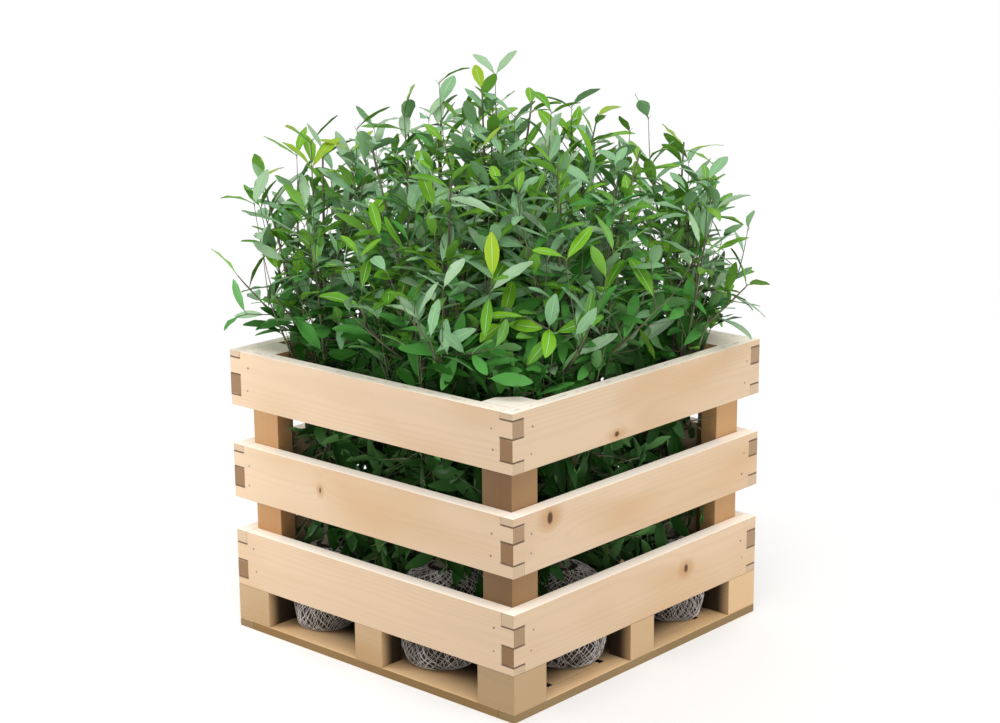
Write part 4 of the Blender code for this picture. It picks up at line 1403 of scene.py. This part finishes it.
def leaf_piece(name, finish, leaf, columns, drop, stations=BLADE_STATIONS, under=False):
    """One piece of many leaf surfaces, their faces up, or down for undersides."""
    points = blade_points(leaf, stations, columns, drop)
    count, rows, across, _three = points.shape
    faces = grid_faces(rows, across)
    if not under:
        faces = faces[:, ::-1]
    mesh = mesh_from(name, points.reshape(-1, 3), repeated(faces, count, rows * across))
    piece_from(mesh, finish)


def leaf_places(paths, spacing, rng):
    """Root, twig direction, part of the way, twig number and order of the leaves along every path.

    The last value is true for the two leaves at the tip of each path.
    """
    counts = np.maximum((run_along(paths)[:, -1] / spacing).astype(int), 3) + 1
    owner = np.repeat(np.arange(len(paths)), counts)
    order = np.arange(len(owner)) - np.repeat(np.cumsum(counts) - counts, counts)
    part = (order + 0.9 + rng.uniform(-0.2, 0.2, len(owner))) / (counts[owner] - 0.1)
    last = order >= counts[owner] - 2
    part = np.where(last, 0.97 + 0.02 * (order - counts[owner] + 2), np.clip(part, 0, 0.995))
    place = part * (paths.shape[1] - 1)
    step = place.astype(int)
    here, ahead = paths[owner, step], paths[owner, step + 1]
    root = here + (ahead - here) * (place - step)[:, None]
    return root, unit(ahead - here), part, owner, order, last


def pick(leaf, mask):
    """The leaves of a set where the mask is true."""
    return {key: value[mask] for key, value in leaf.items()}


def leaves_on(paths, bare, settings, rng):
    """Leaves at the golden turn round every path, but for the bare part at its foot."""
    root, along, part, owner, order, last = leaf_places(paths, settings.spacing, rng)
    spray_lean = rng.normal(0, 1, len(paths))[owner]
    turn = rng.uniform(0, math.tau, len(paths))[owner] + GOLDEN_TURN * order
    last_opening = rng.uniform(*LAST_OPENINGS, len(part))
    opening = OPENING - OPENING_CLOSES * part + rng.uniform(-OPENING_CHANCE, OPENING_CHANCE, len(part))
    opening = np.radians(np.where(last, last_opening, opening))
    heading = along * np.cos(opening)[:, None] + square_to(along, turn) * np.sin(opening)[:, None]
    heading[:, 2] += np.interp(root[:, 2], HANG_HEIGHTS, HANGS)
    heading = unit(heading)
    # the upper side looks up and along the twig, a little by chance
    toward = along + UP * FACE_UP + rng.normal(0, FACE_CHANCE, heading.shape)
    up = unit(toward - heading * (toward * heading).sum(axis=1, keepdims=True))
    length = settings.length * rng.uniform(*LENGTHS, len(part)) * np.where(last, LAST_SHORTER, 1.0)
    return pick({"root": root, "heading": heading, "up": up, "length": length, "last": last,
                 "lean": spray_lean}, part > bare)


def grow_leaves(settings):
    """All the leaves: roots, headings, upper sides, sizes, curves and kinds as arrays."""
    rng = np.random.default_rng(77)
    leader_paths, shoot_paths, twig_paths = crown()
    sets = [leaves_on(paths, bare, settings, rng)
            for paths, bare in zip((twig_paths, shoot_paths, leader_paths), BARE_PARTS)]
    leaf = {key: np.concatenate([one[key] for one in sets]) for key in sets[0]}
    count = len(leaf["root"])
    leaf["bend"] = np.radians(rng.uniform(*BENDS, count))
    leaf["fold"] = np.tan(np.radians(rng.uniform(*FOLDS, count)))
    leaf["roll"] = rng.uniform(*ROLLS, count)
    leaf["wave"] = rng.uniform(*WAVES, count)
    leaf["phase"] = rng.uniform(0, math.tau, count)
    leaf["twist"] = np.radians(rng.normal(0, TWIST, count))
    leaf["width"] = leaf["length"] * rng.uniform(*WIDTHS, count) * np.where(leaf["last"], LAST_BROADER, 1.0)
    leaf = pick(leaf, leaves_that_fit(leaf, settings, rng))
    leaf["kind"] = leaf_kinds(leaf, rng)
    return leaf


def leaves_that_fit(leaf, settings, rng):
    """True for leaves that clear the wood, keep under the dome and aren't missing near the top."""
    count = len(leaf["root"])
    samples = blade_points(leaf, BLADE_STATIONS[2:], UNDER_COLUMNS, 0).reshape(count, -1, 3)
    low, high = np.array(CAD_BOX)
    fits = clear_of_limbs(samples, LEAF_MARGIN)
    fits &= ((samples > low - settings.overhang) & (samples < high + settings.overhang)).all(axis=(1, 2))
    fits &= behind_the_slats(samples, rng)
    root_x, root_y, root_z = leaf["root"].T
    root_reach = np.hypot(root_x, root_y)
    x, y, z = samples[..., 0], samples[..., 1], samples[..., 2]
    fits &= (z < np.maximum(twig_height(x, y) + LEAF_OVER_DOME, root_z[:, None] + OWN_SPARE)).all(axis=1)
    fits &= (np.hypot(x, y) < np.maximum(twig_reach(z) + LEAF_OVER_REACH,
                                         root_reach[:, None] + OWN_SPARE)).all(axis=1)
    airy = (root_z > twig_height(root_x, root_y) - AIRY_DEPTH) | \
        ((root_z > AIRY_FROM) & (root_reach > twig_reach(root_z) - AIRY_RIM))
    return fits & ((rng.random(count) > AIRY_LOSS * airy) | leaf["last"])


def behind_the_slats(samples, rng):
    """True for leaves that keep behind the slats and don't hang over the rim on the two near sides.

    On the other two sides one leaf in three may stand out a little, between the slats.
    """
    flat, z = samples[..., :2], samples[..., 2]
    below = z < SLATS_TOP
    inside = (np.abs(flat) < INNER + SLAT_SPARE).all(axis=-1)
    loose = (flat > -INNER - SLAT_SPARE).all(axis=-1) & (flat < HALF + STAND_OUT).all(axis=-1)
    free = (rng.random(len(samples)) < STAND_OUT_SHARE)[:, None]
    limit = INNER + RIM_SPARE + np.clip(z - FLARE_FROM, 0, 1) * FLARE_SLOPE
    rim_free = (flat > -limit[..., None]).all(axis=-1) | (flat.max(axis=-1) > FAR_SIDE)
    return ((~below | inside | (free & loose)) & rim_free).all(axis=1)


def leaf_kinds(leaf, rng):
    """The kind of each leaf: darker inside and low down, lighter up and out.

    A spray's leaves are mostly of one family, bluish or grass green, with a little chance. The darkening
    inside, near the rim and below it is painted shade, and the lightening up and out is painted light.
    """
    x, y, z = leaf["root"].T
    count = len(z)
    depth = np.minimum(twig_height(x, y) + OUTER_SPARE - z,
                       (twig_reach(z) + OUTER_SPARE - np.hypot(x, y)) * SIDE_DEPTH)
    outer = np.exp(-np.maximum(depth, 0) / OUTER_DEPTH) * np.where(z < RIM, BELOW_RIM, 1.0)
    upper = np.clip((z - RIM) / (CROWN_TOP - RIM), 0, 1)
    # Painted shade and light: the tone falls with depth and near the rim, and rises further out and up
    tone = TONE_INSIDE + TONE_OUTER * outer + TONE_UPPER * upper + TONE_SPRAY * leaf["lean"] + \
        rng.normal(0, TONE_CHANCE, count)
    tone -= np.interp(z, RIM_HEIGHTS, RIM_DARKER)
    warm = leaf["lean"] + WARM_UPPER * upper + rng.normal(0, WARM_CHANCE, count) > WARM_FROM
    kind = np.where(warm, WARM_KINDS[np.digitize(tone, WARM_STEPS)], np.digitize(tone, COOL_STEPS))
    # Painted sheen on a share of the bluish leaves, more of them further out
    kind[(kind == BLUE) & (rng.random(count) < SHEEN_SHARE + SHEEN_OUTER * outer)] = SHEEN
    kind[leaf["last"] & (outer > YOUNG_OUTER) & (upper > YOUNG_UPPER) & (leaf["lean"] > YOUNG_SPRAY)] = YOUNG
    # Painted shade: leaves in the shade below the rim take the gloom colour
    kind[(kind == SHADE) & (z < GLOOM_TOP)] = GLOOM
    return kind


def leaves(settings):
    """Leaves as joined surfaces, one piece for each kind, with paler undersides and midribs."""
    leaf = grow_leaves(settings)
    for index, kind in enumerate(LEAF_KINDS):
        finish = plain_leaf("leaf_" + kind, getattr(settings, kind), settings.gloss, LEAF_GLEAM[index])
        leaf_piece("leaves_" + kind, finish, pick(leaf, leaf["kind"] == index), TOP_COLUMNS, MIDRIB_DIP)
    # The dark undersides go with the leaves in painted shade
    dark = (leaf["kind"] < BLUE) | (leaf["kind"] == GLOOM)
    bright = (leaf["kind"] > MID) & ~dark & (leaf["kind"] != SHEEN)
    for name, mask in (("dark", dark), ("dull", ~dark & ~bright), ("bright", bright)):
        finish = plain_leaf("underside_" + name, getattr(settings, "under_" + name), DULL, DULL_GLEAM)
        leaf_piece("undersides_" + name, finish, pick(leaf, mask), UNDER_COLUMNS, MIDRIB_DIP + UNDER_DROP,
                   under=True)
    leaf_piece("leaf_midribs", plain_leaf("midrib", settings.rib, RIB_DULL, DULL_GLEAM), pick(leaf, ~dark),
               RIB_COLUMNS, RIB_DROP, BLADE_STATIONS[:RIB_STATIONS])


# Stage

# Camera place, and its pan, tilt and roll in degrees
CAMERA_PLACE = (-3.8668, -3.4978, 2.0222)
CAMERA_TURNS = ((-47.967, "Z"), (76.056, "X"), (-0.460, "Z"))
FLOOR_GLOW = 0.08
BACKDROP = 1.1
# Where the wide light comes from, and its width in degrees
KEY_FROM = (-0.25, -0.38, 0.89)
KEY_WIDTH = 45
# Place, aim and size of the soft lights on the two near faces
SOFT_LIGHTS = {"left": ((-1.5, 1.6, 0.8), (-0.5, 0.45, 0.5), 0.8),
               "right": ((1.2, -2.6, 0.40), (0.2, -0.5, 0.5), 0.7)}
# Place and aim of the light into the crown, and its cone in degrees
FRONT_PLACE = (-4.4, -3.8, 2.5)
FRONT_AIM = (0.0, 0.0, 1.28)
FRONT_CONE = 15.5


def placed(name, data, place, turn):
    """Adds an object at a place, turned by a rotation."""
    made = bpy.data.objects.new(name, data)
    made.location = place
    made.rotation_euler = turn.to_euler()
    bpy.context.scene.collection.objects.link(made)
    return made


def lamp(name, kind, place, turn, **values):
    """Adds a light with values for its data."""
    data = bpy.data.lights.new(name, kind)
    for key, value in values.items():
        setattr(data, key, value)
    placed(name, data, place, turn)


def towards(place, aim):
    """The rotation of a light at a place that looks at an aim."""
    return (Vector(aim) - Vector(place)).to_track_quat("-Z", "Y")


def stage(settings):
    """Camera, a plain pale floor, a white sky and soft lights."""
    scene = bpy.context.scene
    data = bpy.data.cameras.new("camera")
    data.lens = settings.lens
    pan, tilt, roll = (Matrix.Rotation(math.radians(turn), 3, axis) for turn, axis in CAMERA_TURNS)
    scene.camera = placed("camera", data, CAMERA_PLACE, pan @ tilt @ roll)
    wide = settings.floor_width / 2
    corners = np.array(((-wide, -wide, 0), (wide, -wide, 0), (wide, wide, 0), (-wide, wide, 0)))
    floor = placed("floor", mesh_from("floor", corners, np.array(((0, 1, 2, 3),))), (0, 0, 0), Matrix())
    paper = Finish("floor_paper", settings.floor_colour,
                   {"Roughness": 0.9, "Specular IOR Level": 0.1, "Emission Color": (1.0, 1.0, 1.0, 1.0),
                    "Emission Strength": FLOOR_GLOW})
    floor.data.materials.append(paper.material)
    world = bpy.data.worlds.new("studio")
    world.use_nodes = True
    tree = world.node_tree
    sky, backdrop = tree.nodes["Background"], tree.nodes.new("ShaderNodeBackground")
    for light, strength in ((sky, settings.sky), (backdrop, BACKDROP)):
        light.inputs["Color"].default_value = (1.0, 1.0, 1.0, 1.0)
        light.inputs["Strength"].default_value = strength
    either = tree.nodes.new("ShaderNodeMixShader")
    path = tree.nodes.new("ShaderNodeLightPath")
    for index, output in enumerate((path.outputs["Is Camera Ray"], sky.outputs[0], backdrop.outputs[0])):
        tree.links.new(output, either.inputs[index])
    tree.links.new(either.outputs[0], tree.nodes["World Output"].inputs["Surface"])
    scene.world = world
    scene.view_settings.view_transform = "Standard"
    lamp("key", "SUN", (0, 0, 0), Vector(KEY_FROM).to_track_quat("Z", "Y"),
         energy=settings.key, angle=math.radians(KEY_WIDTH))
    for name, (place, aim, size) in SOFT_LIGHTS.items():
        lamp(name, "AREA", place, towards(place, aim),
             shape="SQUARE", size=size, energy=getattr(settings, name))
    lamp("front", "SPOT", FRONT_PLACE, towards(FRONT_PLACE, FRONT_AIM), energy=settings.front,
         spot_size=math.radians(FRONT_CONE), spot_blend=0.7, shadow_soft_size=0.9)


# Settings, operators and panel


def size_of(label, text, default):
    """A length in metres."""
    return bpy.props.FloatProperty(name=label, description=text, default=default, subtype="DISTANCE",
                                   unit="LENGTH", precision=4)


def number_of(label, text, default):
    """A plain number."""
    return bpy.props.FloatProperty(name=label, description=text, default=default)


def power_of(label, text, default):
    """The power of a light in watts."""
    return bpy.props.FloatProperty(name=label, description=text, default=default, subtype="POWER")


def colour_of(label, text, default):
    """A colour, as linear red, green and blue."""
    return bpy.props.FloatVectorProperty(name=label, description=text, default=default, subtype="COLOR",
                                         min=0.0, max=1.0)


class LaurelCrateSettings(bpy.types.PropertyGroup):
    """Sizes and colours of the crate."""

    arris: size_of("Arris", "Radius of the boards' edges", 0.0015)
    slat_colour: colour_of("Slats", "Colour of the planed slats", (0.530, 0.392, 0.262))
    # Painted light: upper faces take this pale colour, as if lit from above
    lit_top_colour: colour_of("Edges", "Colour of freshly sawn upper edges", (1.00, 0.90, 0.78))
    # Blocks show this dark colour on their sides as painted shade, against paler end grain
    block_colour: colour_of("Base", "Colour of rails, floor boards and blocks", (0.42, 0.285, 0.155))
    post_colour: colour_of("Posts", "Colour of the corner posts", (0.41, 0.235, 0.105))
    nail_radius: size_of("Nail radius", "Radius of a nail head", 0.0030)
    nail_rise: size_of("Nail rise", "How far a nail head stands out", 0.0007)


class LaurelBallSettings(bpy.types.PropertyGroup):
    """Peat and netting of the root balls."""

    peat_colour: colour_of("Peat", "Colour of the damp peat", (0.018, 0.012, 0.011))
    net_colour: colour_of("Net", "Colour of the net's thread", (0.74, 0.70, 0.67))
    thread_radius: size_of("Thread", "Radius of the net's thread", 0.0009)
    net_threads: bpy.props.IntProperty(name="Threads", default=62,
                                       description="Threads that climb one way round")


class LaurelStemSettings(bpy.types.PropertyGroup):
    """Bark, and the finer twigs of the crown."""

    bark_colour: colour_of("Bark", "Colour of the trunks", (0.10, 0.085, 0.06))
    bark_pale: colour_of("Pale bark", "Colour of pale patches on the trunks", (0.20, 0.18, 0.14))
    twig_colour: colour_of("Twigs", "Colour of shoots and twigs", (0.085, 0.075, 0.045))
    twig_pale: colour_of("Pale twigs", "Colour of green stretches of the twigs", (0.13, 0.16, 0.06))
    bare_foot: size_of("Bare foot", "Length of a limb below its first twig", 0.050)
    twig_spacing: size_of("Twig spacing", "Distance between twigs along a limb", 0.047)
    twig_length: size_of("Twig length", "Length of a long twig", 0.180)
    tip_length: size_of("Tip length", "Length of the twig that carries a tip on", 0.120)
    twig_rise: number_of("Twig rise", "Rise of the lowest twigs in degrees", 24.0)
    twig_rise_tip: number_of("Twig rise at the tip", "Rise of the highest twigs in degrees", 62.0)
    twig_lift: number_of("Twig lift", "How strongly twigs turn upwards", 0.80)
    skirt_top: size_of("Skirt top", "Height up to which the leaders carry long low twigs", 0.90)
    skirt_spacing: size_of("Skirt spacing", "Height between those twigs", 0.0095)
    skirt_length: size_of("Skirt length", "Length of those twigs", 0.300)
    skirt_droop: number_of("Skirt droop", "Rise of the lowest of them in degrees", -52.0)
    skirt_rise: number_of("Skirt rise", "Rise of the highest of them in degrees", 10.0)


class LaurelLeafSettings(bpy.types.PropertyGroup):
    """Sizes and colours of the leaves."""

    length: size_of("Length", "Length of a full leaf with its stalk", 0.130)
    spacing: size_of("Spacing", "Distance between leaves along a twig", 0.029)
    overhang: size_of("Overhang", "How far leaves may pass the solids' box", 0.010)
    gloss: number_of("Roughness", "Roughness of the upper side", 0.42)
    shade: colour_of("Shade", "Leaves deep inside", (0.024, 0.105, 0.013))
    deep: colour_of("Deep", "Dark leaves", (0.070, 0.255, 0.047))
    blue: colour_of("Blue", "Dark blue-green leaves", (0.200, 0.390, 0.195))
    mid: colour_of("Mid", "Leaves in full green", (0.120, 0.315, 0.042))
    grass: colour_of("Grass", "Bright green leaves", (0.098, 0.280, 0.015))
    fresh: colour_of("Fresh", "New leaves", (0.145, 0.350, 0.016))
    # Painted sheen: these leaves are pale grey-green as if the sky gleamed on them
    sheen: colour_of("Sage", "Grey-green leaves that catch the light", (0.275, 0.420, 0.250))
    # Painted shade: leaves behind the slats take this dark colour
    gloom: colour_of("Gloom", "Leaves behind the slats", (0.016, 0.060, 0.010))
    young: colour_of("Young", "Youngest leaves at the tips", (0.245, 0.385, 0.013))
    # Painted shade: undersides of the dark leaves inside
    under_dark: colour_of("Dark underside", "Underside of leaves inside", (0.070, 0.180, 0.048))
    under_dull: colour_of("Underside", "Underside of older leaves", (0.175, 0.330, 0.150))
    under_bright: colour_of("Bright underside", "Underside of new leaves", (0.135, 0.320, 0.036))
    rib: colour_of("Midrib", "Colour of the midribs", (0.400, 0.600, 0.300))


class LaurelStageSettings(bpy.types.PropertyGroup):
    """Camera, floor and lights."""

    lens: bpy.props.FloatProperty(name="Lens", description="Focal length", default=72.507,
                                  subtype="DISTANCE_CAMERA")
    floor_width: size_of("Floor", "Width of the floor", 120.0)
    floor_colour: colour_of("Floor colour", "Colour of the floor", (0.78, 0.78, 0.78))
    sky: number_of("Sky", "Strength of the white sky", 0.70)
    key: number_of("Key", "Strength of the wide light from above", 1.75)
    left: power_of("Left", "Light on the left face", 22.0)
    right: power_of("Right", "Light on the right face", 17.0)
    front: power_of("Front", "Light from the front into the crown", 820.0)


class LAUREL_OT_slats(bpy.types.Operator):
    """Makes the twelve slats with their finger joints."""

    bl_idname = "laurel.slats"
    bl_label = "Slats"

    def execute(self, context):
        slats(context.scene.laurel_crate)
        return {"FINISHED"}


class LAUREL_OT_base(bpy.types.Operator):
    """Makes the rails, floor boards, blocks and corner posts."""

    bl_idname = "laurel.base"
    bl_label = "Base and posts"

    def execute(self, context):
        base(context.scene.laurel_crate)
        return {"FINISHED"}


class LAUREL_OT_nails(bpy.types.Operator):
    """Makes the nail heads."""

    bl_idname = "laurel.nails"
    bl_label = "Nails"

    def execute(self, context):
        nails(context.scene.laurel_crate)
        return {"FINISHED"}


class LAUREL_OT_root_balls(bpy.types.Operator):
    """Makes the peat of the root balls."""

    bl_idname = "laurel.root_balls"
    bl_label = "Root balls"

    def execute(self, context):
        root_balls(context.scene.laurel_balls)
        return {"FINISHED"}


class LAUREL_OT_nets(bpy.types.Operator):
    """Makes the nets round the root balls."""

    bl_idname = "laurel.nets"
    bl_label = "Nets"

    def execute(self, context):
        nets(context.scene.laurel_balls)
        return {"FINISHED"}


class LAUREL_OT_trunks(bpy.types.Operator):
    """Makes the trunks with their bark."""

    bl_idname = "laurel.trunks"
    bl_label = "Trunks"

    def execute(self, context):
        trunks(context.scene.laurel_stems)
        return {"FINISHED"}


class LAUREL_OT_stems(bpy.types.Operator):
    """Makes leaders, shoots and twigs."""

    bl_idname = "laurel.stems"
    bl_label = "Stems"

    def execute(self, context):
        stems(context.scene.laurel_stems)
        return {"FINISHED"}


class LAUREL_OT_leaves(bpy.types.Operator):
    """Makes the leaves on their twigs."""

    bl_idname = "laurel.leaves"
    bl_label = "Leaves"

    def execute(self, context):
        leaves(context.scene.laurel_leaves)
        return {"FINISHED"}


class LAUREL_OT_stage(bpy.types.Operator):
    """Makes the camera, floor, sky and lights."""

    bl_idname = "laurel.stage"
    bl_label = "Stage"

    def execute(self, context):
        stage(context.scene.laurel_stage)
        return {"FINISHED"}


STEPS = ("slats", "base", "nails", "root_balls", "nets", "trunks", "stems", "leaves", "stage")
GROUPS = {"laurel_crate": LaurelCrateSettings, "laurel_balls": LaurelBallSettings,
          "laurel_stems": LaurelStemSettings, "laurel_leaves": LaurelLeafSettings,
          "laurel_stage": LaurelStageSettings}


class LAUREL_PT_panel(bpy.types.Panel):
    """Lists the steps and their settings in the sidebar."""

    bl_label = "Potted cherry laurel"
    bl_space_type = "VIEW_3D"
    bl_region_type = "UI"
    bl_category = "Laurel"

    def draw(self, context):
        for step in STEPS:
            self.layout.operator("laurel." + step)
        for name, group in GROUPS.items():
            column = self.layout.column(heading=name)
            for key in group.__annotations__:
                column.prop(getattr(context.scene, name), key)


CLASSES = (*GROUPS.values(), LAUREL_OT_slats, LAUREL_OT_base, LAUREL_OT_nails, LAUREL_OT_root_balls,
           LAUREL_OT_nets, LAUREL_OT_trunks, LAUREL_OT_stems, LAUREL_OT_leaves, LAUREL_OT_stage,
           LAUREL_PT_panel)


def register():
    """Registers the classes and hangs the settings on the scene."""
    for made in CLASSES:
        bpy.utils.register_class(made)
    for name, group in GROUPS.items():
        setattr(bpy.types.Scene, name, bpy.props.PointerProperty(type=group))


def unregister():
    """Takes the settings and classes away again."""
    for name in GROUPS:
        delattr(bpy.types.Scene, name)
    for made in reversed(CLASSES):
        bpy.utils.unregister_class(made)


def main():
    """Runs every step in order."""
    register()
    for step in STEPS:
        getattr(bpy.ops.laurel, step)()


if __name__ == "__main__":
    main()
